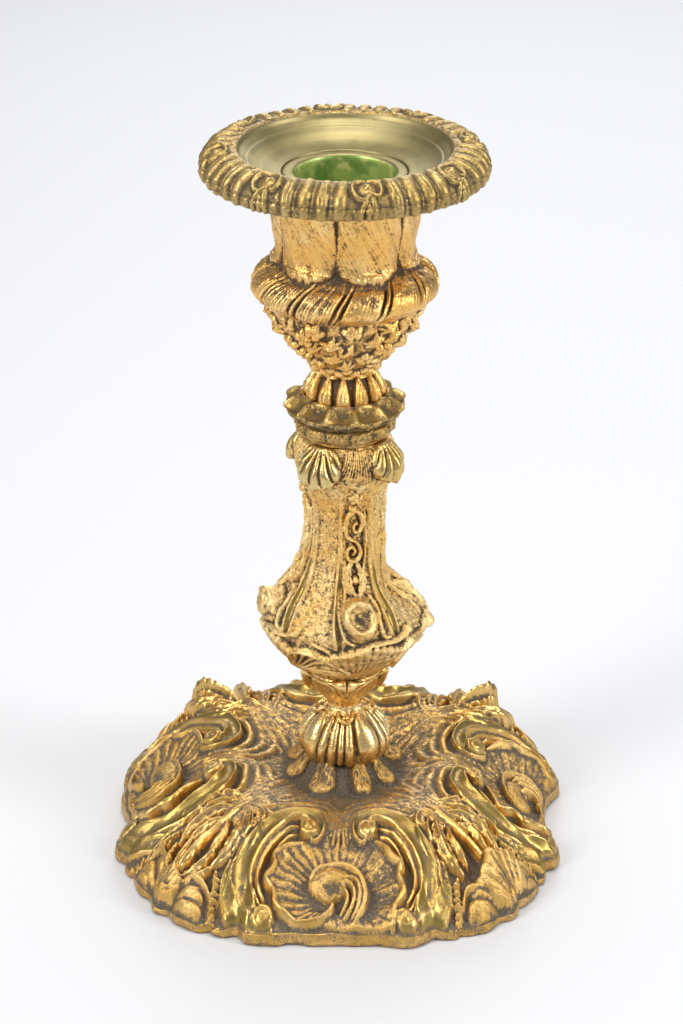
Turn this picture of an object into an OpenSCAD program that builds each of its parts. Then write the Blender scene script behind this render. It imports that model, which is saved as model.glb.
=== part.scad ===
// Table candlestick for one candle, cast and gilt, in the Louis XV manner.
// It stands on a lobed, domed foot. Everything is threaded on one tie rod.
// Frame: +Z up, origin on the table at the middle of the foot, millimetres.

/* [Overall] */
// Height of the candlestick, table to the rim of the drip pan
total_h = 185; // [180:1:190]
// Radius of the foot over its scroll ends
foot_r = 60; // [58:0.5:62]

/* [Foot] */
// Height of the plain edge that touches the table
foot_edge_h = 3.4; // [2.5:0.1:4]
// Wall thickness of the hollow casting
wall_t = 2.6; // [2:0.1:3]
// Half the spacing of the two scrolls of one cartouche, at the rim
scroll_half_gap = 17.6; // [16:0.2:19]
// Thickness of the raised scroll bands
scroll_band_r = 1.9; // [1.5:0.1:2.2]

/* [Candle socket] */
// Bore radius for the candle
candle_r = 12; // [11:0.1:12.4]
// Depth of the candle bore
candle_depth = 27; // [22:1:27]
// Outer radius of the loose nozzle tube
nozzle_r = 13.1; // [12.8:0.1:13.2]
// Running clearance of the drip pan round the nozzle tube
pan_clearance = 0.05; // [0.02:0.01:0.1]

/* [Drip pan] */
// Outer radius of the drip pan
pan_r = 33.8; // [32:0.2:35]
// Number of gadroons on the drip pan's rim
pan_gadroons = 36; // [24:1:40]

/* [Stem] */
// Radius of the tie rod
rod_r = 3; // [2.5:0.1:3]
// Turn of the stem's ornament about the axis
stem_turn = -71; // [-90:1:90]

/* [Hidden] */

$fn = 96;
e = 0.01;
rod_hole_r = rod_r + 0.15;

z_knop = 22.5;       // top of the foot, under the knop
z_stem = 47;         // stem sits here
z_collar = 111;      // scalloped collar sits here
z_cup = 119;         // candle cup sits here
z_cup_top = total_h - 9;         // drip pan rests here
z_floor = 131;       // floor inside the cup, under the nut
z_nozzle_top = z_cup_top + 2.2;
z_nozzle_floor = z_nozzle_top - candle_depth;

gilt = [0.83, 0.62, 0.25];
pale = [0.66, 0.58, 0.36];
steel = [0.45, 0.44, 0.42];

module spin(pts, a = 360) { rotate_extrude(angle = a) polygon(pts); }
module around(n, a0 = 0) { for (i = [0:n - 1]) rotate([0, 0, a0 + i * 360 / n]) children(); }

// ---------------------------------------------------------------- foot

// outline of the foot: a disc with two scroll ends and a shell front per side,
// and a flower lobe at each corner
module foot_outline(grow = 0) {
    circle(r = 54.6 + grow);
    around(4) {
        for (s = [-1, 1]) translate([foot_r - 5.2 - 2.6, s * scroll_half_gap]) circle(r = 5.2 + grow);
        translate([34, 0]) circle(r = 23.6 + grow);
        rotate([0, 0, 45]) translate([45.5, 0]) circle(r = 12.2 + grow);
    }
}

// a band bent round a circle, laid on the slope of the foot, with a rounded end
module slope(r = 46, z = 12.8, tilt = 31) { translate([r, 0, z]) rotate([0, tilt, 0]) children(); }
module arc_band(rr, a0, a1, b, fn = 24) {
    rotate([0, 0, a0]) rotate_extrude(angle = a1 - a0) translate([rr, 0]) circle(r = b, $fn = fn);
    // a small bulb closes each end
    for (a = [a0, a1]) rotate([0, 0, a]) translate([rr, 0, 0]) sphere(r = b * 1.3, $fn = 32);
}

module cartouche() {
    slope() {
        // two facing C-scrolls
        for (s = [-1, 1]) translate([0.6, s * 6.4, 0]) {
            arc_band(12.4, s > 0 ? 22 : -158, s > 0 ? 158 : -22, scroll_band_r);
        }
        // ribs of the shell between them
        for (a = [-120:40:120]) rotate([0, 0, a + 4]) rotate([0, 90, 0])
            translate([0.9, 0, 2.2]) cylinder(h = 7.6, r1 = 0.7, r2 = 1.6, $fn = 20);
        translate([1.5, 0, -0.4]) sphere(r = 3.6, $fn = 32);
    }
}

module corner_flower() {
    rotate([0, 0, 45]) {
        translate([53.2, 0, 5.4]) sphere(r = 2.5, $fn = 32);
        for (a = [-65, 0, 65]) translate([52.4, 0, 7.4]) rotate([0, 48, 0]) rotate([0, 0, 180 + a]) rotate([0, 90, 0])
            cylinder(h = 8.6, r1 = 1.6, r2 = 3.3, $fn = 28);
        for (s = [-1, 1]) translate([51.6, s * 6.2, 3.9]) sphere(r = 4.2, $fn = 32);
        // leaf rib running up from the flower to the middle
        translate([36.5, 0, 15.2]) rotate([0, 98, 0]) translate([0, 0, -18]) cylinder(h = 20, r1 = 0.9, r2 = 1.7, $fn = 24);
    }
}

module dome_body() {
    spin([[0, 2], [55.4, 2], [55.4, foot_edge_h + 0.6], [54, 6.2], [50.5, 9.4], [45, 13],
          [39, 16.3], [33.5, 18.2], [26, 18.4], [19, 17.4], [13.4, 17.2], [11, 18.6],
          [10, 21], [9.4, z_knop], [0, z_knop]]);
}
module dome_hollow() {
    spin([[0, -1], [54.2 - wall_t, -1], [54.2 - wall_t, 2.4], [51.1 - wall_t, 6.2], [46.1 - wall_t, 9.8],
          [40.6 - wall_t, 12.8], [35.1 - wall_t, 17.5 - wall_t], [26, 18 - wall_t], [13, 16.8 - wall_t], [9.5, 17.5], [0, 17.5]]);
}

module base() {
    color(gilt) difference() {
        union() {
            linear_extrude(foot_edge_h) foot_outline();
            dome_body();
            around(4) cartouche();
            around(4) corner_flower();
            // tongues under the knop
            around(8, 22.5) translate([11.6, 0, 18.4]) rotate([0, 62, 0]) cylinder(h = 5.2, r1 = 1.7, r2 = 2.2, center = true, $fn = 24);
        }
        dome_hollow();
        translate([0, 0, -20]) cylinder(r = 80, h = 20);
        cylinder(r = rod_hole_r, h = 40);
        // the knop stands on a flat seat
        translate([0, 0, z_knop]) cylinder(r = 20, h = 10);
    }
}

// ---------------------------------------------------------------- knop and calyx

module stem_foot() {
    color(gilt) difference() {
        union() {
            spin([[0, z_knop], [7.6, z_knop], [9.4, 23.4], [10.2, 25.6], [9.6, 28.4], [7.6, 31.6],
                  [5.4, 34], [4.5, 35.6], [4.5, 36.6], [5.6, 38.4], [8.4, 41], [11.4, 43.6],
                  [12.2, 45.2], [11.6, 46], [8, 46.4], [8, z_stem], [0, z_stem]]);
            // gadroons
            around(10, 8) for (k = [0:4]) rotate([0, 0, 0])
                translate([[8.6, 9.5, 9.2, 7.7, 5.9][k], 0, [24.2, 25.8, 28, 30.6, 33][k]]) sphere(r = [1.7, 1.9, 1.8, 1.4, 1][k], $fn = 24);
            // four pointed leaves of the calyx
            around(4, stem_turn) translate([7.9, 0, 41.4]) rotate([0, 42, 0]) cylinder(h = 8, r1 = 1, r2 = 3, center = true, $fn = 28);
        }
        translate([0, 0, z_knop - 1]) cylinder(r = rod_hole_r, h = 40);
        translate([0, 0, z_stem]) cylinder(r = 30, h = 10);
        translate([0, 0, z_knop - 10]) cylinder(r = 30, h = 10);
    }
}

// ---------------------------------------------------------------- stem

function stem_pts(g = 0) = [[10.6 + g, 47.4], [13.2 + g, 49.6], [16.2 + g, 53], [18.2 + g, 57], [19 + g, 60.5],
    [18.6 + g, 64], [17 + g, 68], [14.6 + g, 71.6], [12.4 + g, 74.6], [11 + g, 78], [10 + g, 82.4],
    [9.5 + g, 87], [9.8 + g, 91.5], [10.8 + g, 96], [12 + g, 100], [12.2 + g, 104], [11.2 + g, 108]];

module stem() {
    color(gilt) difference() {
        union() {
            spin(concat([[0, z_stem], [8, z_stem]], stem_pts(), [[9.6, 110], [9.6, z_collar], [0, z_collar]]));
            // eight ridges between the panels
            around(8, stem_turn + 22.5) rotate([0, 0, -2.3])
                spin(concat([[8, 52]], [for (p = stem_pts(0.7)) if (p[1] > 53 && p[1] < 100) p], [[8, 99]]), 4.6);
            around(4, stem_turn) {
                // oval bosses and the ribbed fans under them
                translate([18, 0, 67.8]) sphere(r = 5.1, $fn = 40);
                for (a = [-36:18:36]) rotate([0, 0, a * 0.5]) translate([16.4, 0, 55.7]) rotate([a * 0.3, 35, 0]) cylinder(h = 11.5, r1 = 0.8, r2 = 1.8, center = true, $fn = 20);
            }
            around(4, stem_turn + 45) {
                // lips of the lower shells
                translate([16.7, 0, 57.9]) rotate([0, 0, 3]) sphere(r = 5.35, $fn = 40);
                // scallop shells under the collar
                for (a = [-36:18:36]) rotate([0, 0, a * 0.62]) translate([12.3, 0, 103.4 - abs(a) * 0.03]) rotate([a * 0.5, -5, 0])
                    cylinder(h = 11, r1 = 2.1, r2 = 0.9, center = true, $fn = 20);
            }
        }
        // hollow casting
        spin([[0, 51.5], [9, 51.5], [14.4, 56], [15.8, 60.5], [14.2, 66.4], [9.6, 74], [7.2, 80],
              [6.6, 87], [7.2, 93], [8.8, 99], [8.8, 104], [6, 107.5], [0, 107.5]]);
        translate([0, 0, z_stem - 1]) cylinder(r = rod_hole_r, h = 80);
        translate([0, 0, z_stem - 10]) cylinder(r = 30, h = 10);
        translate([0, 0, z_collar]) cylinder(r = 30, h = 10);
    }
}

// ---------------------------------------------------------------- scalloped collar

module scalloped_collar() {
    color(pale) difference() {
        union() {
            spin([[0, z_collar], [10.2, z_collar], [11.6, 112.4], [12.2, 114.4], [14.2, 117.4], [14.8, 119.8],
                  [14.2, 121.4], [11.6, 122.4], [10.2, 122], [9.7, 120.6], [9.7, z_cup], [0, z_cup]]);
            around(10, -90) translate([10.6, 0, 112.8]) sphere(r = 2.3, $fn = 28);
        }
        // scooped flutes of the rim
        around(10, -90) translate([16.4, 0, 121.9]) rotate([0, -28, 0]) translate([0, 0, -1]) cylinder(h = 9, r = 3.5, center = true, $fn = 32);
        translate([0, 0, z_collar - 1]) cylinder(r = rod_hole_r, h = 20);
        translate([0, 0, z_collar - 10]) cylinder(r = 30, h = 10);
    }
}

// ---------------------------------------------------------------- candle cup

module candle_cup() {
    color(gilt) difference() {
        union() {
            spin([[0, z_cup], [8.8, z_cup], [9, 121.6], [8.8, 124], [7.6, 127], [7.4, 128.6], [9.4, 130.4],
                  [12, 132.6], [14, 135.4], [16, 138.6], [17.4, 142], [18.2, 145.6], [20.4, 147], [21.8, 148.4],
                  [22.4, 150.4], [21.8, 152.6], [19.4, 155], [16.4, 156.6], [15.8, 159], [15.9, 164], [16.4, 170],
                  [17, z_cup_top], [0, z_cup_top]]);
            // tongues of the foot
            around(12, 15) translate([7.3, 0, 123.6]) rotate([0, -14, 0]) cylinder(h = 8, r1 = 1.2, r2 = 0.9, center = true, $fn = 20);
            // swirled gadroons of the vase's rim
            around(14) translate([19.6, 0, 151.2]) rotate([34, 0, 0]) cylinder(h = 7.4, r = 2.6, center = true, $fn = 28);
            // leaf lobes of the neck
            around(6, -86) translate([13.6, 0, 166]) rotate([7, 2, 0]) cylinder(h = 18.5, r1 = 3.3, r2 = 4.3, center = true, $fn = 36);
            // blossoms on the bowl
            around(10) for (k = [0:2]) rotate([0, 0, k * 18])
                translate([[16.9, 14.6, 11][k], 0, [142.6, 138, 133.4][k]]) sphere(r = [2.6, 2.3, 1.9][k], $fn = 24);
        }
        translate([0, 0, 149.6]) cylinder(r = nozzle_r + 0.25, h = 40);
        spin([[0, z_floor], [7, z_floor], [7.4, 134.2], [13.35, 147.5], [13.35, 150], [0, 150]]);
        translate([0, 0, z_cup - 1]) cylinder(r = rod_hole_r, h = 40);
        translate([0, 0, z_cup_top]) cylinder(r = 40, h = 10);
        translate([0, 0, z_cup - 10]) cylinder(r = 30, h = 10);
    }
}

// ---------------------------------------------------------------- nozzle and drip pan

module candle_nozzle() {
    zf = z_cup_top + 1.05;
    color(pale) spin([[0, z_nozzle_floor - 1.2], [nozzle_r - 0.8, z_nozzle_floor - 1.2], [nozzle_r, z_nozzle_floor - 0.4],
        [nozzle_r, zf], [14.9, zf], [14.9, zf + 0.65], [14.4, z_nozzle_top], [candle_r + 0.4, z_nozzle_top],
        [candle_r, z_nozzle_top - 0.4], [candle_r, z_nozzle_floor], [0, z_nozzle_floor]]);
}

module drip_pan() {
    color(pale) translate([0, 0, z_cup_top]) union() {
        spin([[nozzle_r + pan_clearance, 0.05], [17, 0.05], [21.4, 0.8], [25, 1.7], [pan_r - 3.8, 1.7],
              [pan_r - 1.2, 1.3], [pan_r - 0.5, 2.2], [pan_r - 0.4, 4.4], [pan_r - 1.6, 6.4], [pan_r - 3.8, 7.8], [pan_r - 6.2, 8.6],
              [pan_r - 7.6, 8.5], [pan_r - 8.6, 8.2], [pan_r - 9.2, 7.6], [pan_r - 10.2, 6.6], [pan_r - 10.7, 5.9], [20, 3.7],
              [17, 2.5], [15, 2], [15, 1], [nozzle_r + pan_clearance, 1]]);
        // gadroons of the rim
        around(pan_gadroons) translate([pan_r - 4.4, 0, 5.3]) rotate([0, 26, 0]) rotate([0, 90, 0])
            cylinder(h = 8.2, r1 = 1.9, r2 = 2.6, center = true, $fn = 20);
    }
}

// ---------------------------------------------------------------- tie rod and fasteners

module tie_rod() { color(steel) translate([0, 0, 8]) cylinder(r = rod_r, h = 130); }
module hex_nut(z, af, h) {
    color(steel) translate([0, 0, z]) difference() {
        cylinder(r = af / sqrt(3), h = h, $fn = 6);
        translate([0, 0, -1]) cylinder(r = rod_r + 0.05, h = h + 2);
    }
}
module cup_nut() { hex_nut(z_floor, 10, 5); }
module base_washer() {
    color(steel) translate([0, 0, 16]) difference() {
        cylinder(r = 8.5, h = 1.5);
        translate([0, 0, -1]) cylinder(r = rod_hole_r, h = 4);
    }
}
module base_nut() { hex_nut(11, 11, 5); }

base();
stem_foot();
stem();
scalloped_collar();
candle_cup();
candle_nozzle();
drip_pan();
tie_rod();
cup_nut();
base_washer();
base_nut();
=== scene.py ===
import bpy
import math
import numpy as np
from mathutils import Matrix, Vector


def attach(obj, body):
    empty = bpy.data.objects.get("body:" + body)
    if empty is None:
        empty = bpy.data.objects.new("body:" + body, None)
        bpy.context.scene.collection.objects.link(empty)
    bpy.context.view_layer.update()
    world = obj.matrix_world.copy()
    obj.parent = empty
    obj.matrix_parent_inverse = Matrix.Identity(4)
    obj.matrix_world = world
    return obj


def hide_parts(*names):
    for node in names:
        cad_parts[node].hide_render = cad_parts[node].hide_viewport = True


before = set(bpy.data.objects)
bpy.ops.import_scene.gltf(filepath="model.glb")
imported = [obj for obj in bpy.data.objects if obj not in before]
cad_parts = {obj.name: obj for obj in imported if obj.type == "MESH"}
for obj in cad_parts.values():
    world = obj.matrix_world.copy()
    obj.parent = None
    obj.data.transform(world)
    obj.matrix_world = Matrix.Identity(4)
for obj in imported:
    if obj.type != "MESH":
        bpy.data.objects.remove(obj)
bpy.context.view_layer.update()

MM = 0.001
rng = np.random.default_rng(11)
TAU = 2 * math.pi
rad = math.radians


# ------------------------------------------------------------------ helpers
def sm(a, b, x):
    t = np.clip((x - a) / (b - a), 0, 1)
    return t * t * (3 - 2 * t)


def smooth_path(pts, step=0.5):
    P = np.array(pts, float)
    if len(P) < 3:
        n = max(2, int(np.hypot(*(P[1] - P[0])) / step) + 1)
        return P[0] + (P[1] - P[0]) * np.linspace(0, 1, n)[:, None]
    Q = np.vstack([2 * P[0] - P[1], P, 2 * P[-1] - P[-2]])
    out = []
    for i in range(1, len(Q) - 2):
        p0, p1, p2, p3 = Q[i - 1], Q[i], Q[i + 1], Q[i + 2]
        m = max(2, int(np.hypot(*(p2 - p1)) / step) + 1)
        t = np.linspace(0, 1, m, endpoint=False)[:, None]
        out.append(0.5 * (2 * p1 + (p2 - p0) * t + (2 * p0 - 5 * p1 + 4 * p2 - p3) * t**2 + (3 * p1 - p0 - 3 * p2 + p3) * t**3))
    out.append(P[-1:])
    return np.vstack(out)


def resample(pts, n, smooth=True, end=True):
    P = smooth_path(pts, 0.1) if smooth else np.array(pts, float)
    L = np.r_[0, np.cumsum(np.hypot(np.diff(P[:, 0]), np.diff(P[:, 1])))]
    t = np.linspace(0, L[-1], n, endpoint=end)
    return np.c_[np.interp(t, L, P[:, 0]), np.interp(t, L, P[:, 1])]


def blur(A, si, sj, wrap_j=False):
    """Gaussian blur of a grid; the first axis goes round and wraps."""
    def kern(s):
        n = max(1, int(3 * s + 0.5))
        k = np.exp(-0.5 * (np.arange(-n, n + 1) / s) ** 2)
        return k / k.sum(), n
    out = A
    if si > 0.3:
        k, n = kern(si)
        out = sum(w * np.roll(out, i - n, 0) for i, w in enumerate(k))
    if sj > 0.3:
        k, n = kern(sj)
        if wrap_j:
            out = sum(w * np.roll(out, i - n, 1) for i, w in enumerate(k))
        else:
            pad = np.pad(out, ((0, 0), (n, n)), mode="edge")
            m = A.shape[1]
            out = sum(w * pad[:, i:i + m] for i, w in enumerate(k))
    return out


def grain(shape, si, sj, seed):
    """Soft noise of unit spread whose grains are about si by sj cells."""
    g = np.random.default_rng(seed).normal(size=shape)
    g = blur(g, si, sj)
    return g / (g.std() + 1e-9)


class Relief:
    def __init__(self, shape):
        self.h = np.zeros(shape)
        self.tone = np.zeros(shape)   # 1 where the metal is polished and greenish
        self.rough = np.zeros(shape)  # 1 where the metal is punched or matted
        self.patina_and_shade = np.zeros(shape)   # extra patina, and painted shade in a few places

    def view(self, u, v):
        return View(self, u, v)


class View:
    """Brushes over local plan coordinates u, v in mm."""

    def __init__(self, rel, u, v):
        self.u, self.v = np.ascontiguousarray(u).ravel(), np.ascontiguousarray(v).ravel()
        self.H, self.T, self.G, self.D = rel.h.reshape(-1), rel.tone.reshape(-1), rel.rough.reshape(-1), rel.patina_and_shade.reshape(-1)

    def near(self, P, pad):
        lo, hi = P.min(0) - pad, P.max(0) + pad
        return np.nonzero((self.u > lo[0]) & (self.u < hi[0]) & (self.v > lo[1]) & (self.v < hi[1]))[0]

    def dist(self, idx, P):
        A, D = P[:-1], P[1:] - P[:-1]
        L = np.hypot(D[:, 0], D[:, 1]) + 1e-9
        cum = np.r_[0, np.cumsum(L)]
        u, v = self.u[idx], self.v[idx]
        best = np.full(len(idx), 1e9)
        t, side = np.zeros(len(idx)), np.zeros(len(idx))
        for k in range(len(A)):
            w = np.clip(((u - A[k, 0]) * D[k, 0] + (v - A[k, 1]) * D[k, 1]) / L[k] ** 2, 0, 1)
            dx, dy = u - A[k, 0] - w * D[k, 0], v - A[k, 1] - w * D[k, 1]
            d = np.hypot(dx, dy)
            m = d < best
            best[m] = d[m]
            t[m] = (cum[k] + w * L[k])[m]
            side[m] = (np.sign(D[k, 0] * dy - D[k, 1] * dx) * d)[m]
        return best, t / cum[-1], side

    def put(self, i, f, mode):
        if mode == "max":
            over = f > self.H[i]
            self.H[i] = np.maximum(self.H[i], f)
            self.T[i[over]] = 0
            self.D[i[over]] = 0
        elif mode == "add":
            self.H[i] += f
        elif mode == "sub":
            self.H[i] -= f
        elif mode == "min":
            self.H[i] = np.minimum(self.H[i], f)

    @staticmethod
    def along(t, a):
        a = np.atleast_1d(np.array(a, float))
        return np.full(t.shape, a[0]) if len(a) == 1 else np.interp(t, np.linspace(0, 1, len(a)), a)

    def ridge(self, pts, w, h, mode="max", p=0.5, base=0.0, tone=None, step=0.6):
        P = smooth_path(pts, step)
        idx = self.near(P, float(np.max(w)))
        if not len(idx):
            return
        d, t, _ = self.dist(idx, P)
        ww = self.along(t, w)
        q = 1 - (d / np.maximum(ww, 1e-3)) ** 2
        m = q > 0
        if not m.any():
            return
        i = idx[m]
        self.put(i, base + self.along(t[m], h) * q[m] ** p, mode)
        if tone is not None:
            self.T[i] = tone

    def channel(self, pts, w, h, hollow=0.5, tone=1.0, step=0.6, rim=0.78, twist=0.0):
        """A band with two raised rims and a polished hollow between them."""
        P = smooth_path(pts, step)
        idx = self.near(P, float(np.max(w)))
        if not len(idx):
            return
        d, t, sd = self.dist(idx, P)
        ww = np.maximum(self.along(t, w), 1e-3)
        s = sd / ww
        q = d / ww
        m = q < 1
        i = idx[m]
        s, q, t = s[m], q[m], t[m]
        inner = np.clip(1 - (s / rim) ** 2, 0, 1)
        f = self.along(t, h) * (np.sqrt(1 - np.clip(q, 0, 1) ** 6) - hollow * inner ** 0.9 + twist * s)
        self.put(i, f, "max")
        k = (np.abs(s) < rim * 0.9) & (q < 0.95)
        self.T[i[k]] = tone

    def dome(self, c, rx, ry, ang, h, mode="max", p=0.5, ribs=0, amp=0.12, root=None, tone=None, base=0.0):
        P = np.array([c, c], float)
        idx = self.near(P, max(rx, ry))
        if not len(idx):
            return
        x, y = self.u[idx] - c[0], self.v[idx] - c[1]
        ca, sa = math.cos(rad(ang)), math.sin(rad(ang))
        X, Y = x * ca + y * sa, -x * sa + y * ca
        q = 1 - (X / rx) ** 2 - (Y / ry) ** 2
        m = q > 0
        f = h * q[m] ** p
        if ribs:
            r0 = root if root is not None else (c[0] - rx * 1.1 * ca, c[1] - rx * 1.1 * sa)
            a = np.arctan2(self.v[idx][m] - r0[1], self.u[idx][m] - r0[0])
            f = f - amp * h * (0.5 + 0.5 * np.cos(a * ribs)) ** 3
        self.put(idx[m], base + f, mode)
        if tone is not None:
            self.T[idx[m]] = tone

    def fan(self, c, ang, spread, r0, r1, n, h0, h1, rib=0.3, p=1.0, mode="max", scal=0.06, tone=None, flute=False, curl=0.0, lip=0.0):
        """A shell: ribs that spread from c towards ang, with a scalloped edge."""
        P = np.array([c, c], float)
        idx = self.near(P, r1 * 1.15)
        if not len(idx):
            return
        x, y = self.u[idx] - c[0], self.v[idx] - c[1]
        r = np.hypot(x, y)
        a = np.arctan2(y, x) - rad(ang)
        a = (a + curl * r / r1 + math.pi) % TAU - math.pi
        k = a / rad(spread) + 0.5
        edge = r1 * (1 - scal * (1 - np.abs(np.sin(np.pi * n * k))))
        m = (k > 0) & (k < 1) & (r > r0) & (r < edge)
        if not m.any():
            return
        k, r, edge = k[m], r[m], edge[m]
        t = (r - r0) / (edge - r0)
        wv = np.abs(np.sin(np.pi * n * k))
        wave = (1 - wv) if flute else wv
        f = h0 + (h1 - h0) * t ** p + rib * (wave - 0.5) * sm(0, 0.25, t)
        f = f + lip * sm(0.8, 0.97, t)
        side = sm(0, 0.06, k) * sm(0, 0.06, 1 - k)
        f = f * (0.35 + 0.65 * side)
        self.put(idx[m], f, mode)
        if tone is not None:
            self.T[idx[m]] = np.where(wv > 0.55, tone, 0) if flute else tone

    def leaf(self, pts, w, h, lobes=5, vein=0.35, cut=0.35, mode="max", step=0.6, lean=0.7, hollow=0.35, base=0.0):
        """An acanthus leaf: lobed outline, raised midrib, hollow halves with veins."""
        P = smooth_path(pts, step)
        idx = self.near(P, float(np.max(w)) * 1.1)
        if not len(idx):
            return
        d, t, sd = self.dist(idx, P)
        ww = np.maximum(self.along(t, w), 1e-3)
        s = np.abs(sd) / ww
        s = np.maximum(s, d / ww)
        ph = (lobes * t - lean * s) % 1.0
        out = 1 - cut * (1 - np.sin(np.pi * ph) ** 0.6)
        m = s < out
        if not m.any():
            return
        i = idx[m]
        s, t, ph, out = s[m], t[m], ph[m], out[m]
        q = s / out
        hh = self.along(t, h)
        f = hh * (1 - q ** 6) ** 0.5 * (1 - hollow * np.sin(np.pi * np.clip(q, 0, 1)) ** 1.2)
        f += vein * np.exp(-((s / 0.16) ** 2)) - vein * 0.8 * (1 - np.abs(np.sin(np.pi * ph))) ** 3 * sm(0.1, 0.3, q)
        self.put(i, base + f, mode)

    def disc(self, c, r, h, tone=0.5, turn=1):
        """A flat scroll end with a cut spiral."""
        i = self.near(np.array([c, c], float), r * 1.25)
        x, y = self.u[i] - c[0], self.v[i] - c[1]
        d, a = np.hypot(x, y), np.arctan2(y, x)
        ring = (d >= r) & (d < r * 1.2)
        self.H[i[ring]] -= 0.35
        m = d < r
        i, d, a = i[m], d[m] / r, a[m]
        ph = (d * 1.6 + turn * a / TAU) % 1.0
        self.H[i] = h + 0.35 * np.sqrt(1 - d ** 2) - 0.42 * np.exp(-(((ph - 0.5) / 0.12) ** 2)) * (d > 0.25)
        self.T[i] = tone
        self.D[i] = 0
        self.G[i] = 0.1

    def patina_and_shade_spot(self, c, rx, ry, amount):
        """Patina round a point; with a large amount it is painted shade, as in the gap where the cup's leaves part.
        """
        P = np.array([c, c], float)
        i = self.near(P, 2.2 * max(rx, ry))
        self.D[i] += amount * np.exp(-(((self.u[i] - c[0]) / rx) ** 2 + ((self.v[i] - c[1]) / ry) ** 2))

    def matt(self, c, r, amount=1.0):
        P = np.array([c, c], float)
        idx = self.near(P, r)
        d = np.hypot(self.u[idx] - c[0], self.v[idx] - c[1])
        self.G[idx] = np.maximum(self.G[idx], amount * (1 - sm(0.7 * r, r, d)))


def cavity(h, cell_i, cell_j, wrap_j=False, k1=0.9, k2=0.35):
    """0 on the high points, 1 in the deep recesses, 0.5 on even ground. cell sizes in mm."""
    a = blur(h, 0.45 / cell_i, 0.45 / cell_j, wrap_j) - h
    b = blur(h, 1.7 / cell_i, 1.7 / cell_j, wrap_j) - h
    return np.clip(0.5 + k1 * a / 0.35 * 0.5 + k2 * b / 0.9 * 0.5, 0, 1)


def build(name, P, attrs, wrap_j=True, flip=False):
    """One closed mesh from a grid of points in mm; the first axis goes round."""
    ni, nj, _ = P.shape
    me = bpy.data.meshes.new(name)
    I, J = np.meshgrid(np.arange(ni), np.arange(nj if wrap_j else nj - 1), indexing="ij")
    I2, J2 = (I + 1) % ni, (J + 1) % nj
    q = np.stack([I * nj + J, I2 * nj + J, I2 * nj + J2, I * nj + J2], -1).reshape(-1, 4)
    if flip:
        q = q[:, ::-1]
    me.vertices.add(ni * nj)
    me.vertices.foreach_set("co", (P.reshape(-1) * MM).astype(np.float32))
    me.loops.add(q.size)
    me.loops.foreach_set("vertex_index", q.reshape(-1).astype(np.int32))
    me.polygons.add(len(q))
    me.polygons.foreach_set("loop_start", np.arange(0, q.size, 4, dtype=np.int32))
    me.polygons.foreach_set("use_smooth", np.ones(len(q), bool))
    me.update(calc_edges=True)
    me.validate()
    for key, val in attrs.items():
        at = me.attributes.new(key, "FLOAT", "POINT")
        at.data.foreach_set("value", np.ascontiguousarray(val).reshape(-1).astype(np.float32))
    ob = bpy.data.objects.new(name, me)
    bpy.context.collection.objects.link(ob)
    return ob


def lathe(name, rows, rel_rows, nu, shape_fn, matt_amp=0.05, seed=1, cavk=(0.9, 0.35), grains=(1.2, 1.2)):
    """A turned casting. rows: closed profile (r, z) in mm, outside going up. rel_rows: slice of rows that carries relief."""
    R = np.array(rows, float)
    nj = len(R)
    th = np.arange(nu) / nu * TAU
    T = np.roll(R, -1, 0) - np.roll(R, 1, 0)
    Ln = np.hypot(T[:, 0], T[:, 1]) + 1e-9
    N = np.c_[T[:, 1] / Ln, -T[:, 0] / Ln]
    a, b = rel_rows
    seg = R[a:b]
    s = np.r_[0, np.cumsum(np.hypot(np.diff(seg[:, 0]), np.diff(seg[:, 1])))]
    rel = Relief((nu, b - a))
    shape_fn(rel, th, seg, s)
    cell_j = s[-1] / (b - a)
    cell_i = TAU * seg[:, 0].mean() / nu
    g = grain(rel.h.shape, grains[0], grains[1], seed)
    rel.h += g * matt_amp * (0.15 + 0.85 * rel.rough) * (1 - 0.9 * rel.tone)
    fade = np.minimum(sm(0, 2.5, np.arange(b - a)), sm(0, 2.5, (b - a - 1) - np.arange(b - a)))
    d = rel.h * fade[None, :]
    cav = cavity(rel.h, cell_i, cell_j, False, *cavk) + rel.patina_and_shade
    full = np.zeros((nu, nj))
    full[:, a:b] = d
    C = np.full((nu, nj), 0.55)
    C[:, a:b] = cav
    Tn = np.zeros((nu, nj))
    Tn[:, a:b] = rel.tone
    G = np.zeros((nu, nj))
    G[:, a:b] = rel.rough
    rr = R[None, :, 0] + full * N[None, :, 0]
    zz = R[None, :, 1] + full * N[None, :, 1]
    P = np.stack([rr * np.cos(th)[:, None], rr * np.sin(th)[:, None], zz], -1)
    return build(name, P, {"cav": C, "tone": Tn, "matt": G})


def wrapa(a):
    return (a + math.pi) % TAU - math.pi


# ------------------------------------------------------------------ camera, light and stage
FOOT_TURN = -2.5      # the foot sits a little turned under the stem

cam = bpy.data.cameras.new("camera")
cam.lens = 105.07
cam.sensor_width = 36
cam.sensor_fit = "AUTO"
cam_ob = bpy.data.objects.new("camera", cam)
bpy.context.collection.objects.link(cam_ob)
cam_ob.location = (-0.0008, -0.6693, 0.40586)
cam_ob.rotation_euler = (rad(90 - 25.305), 0, 0)
bpy.context.scene.camera = cam_ob
bpy.context.scene.view_settings.view_transform = "Standard"


def area(name, loc, target, size, power, col=(1, 1, 1), size_y=None):
    li = bpy.data.lights.new(name, "AREA")
    li.energy, li.size, li.color = power, size, col
    if size_y:
        li.shape, li.size_y = "RECTANGLE", size_y
    ob = bpy.data.objects.new(name, li)
    ob.location = loc
    ob.rotation_euler = (Vector(target) - Vector(loc)).to_track_quat("-Z", "Y").to_euler()
    bpy.context.collection.objects.link(ob)
    return ob


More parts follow.
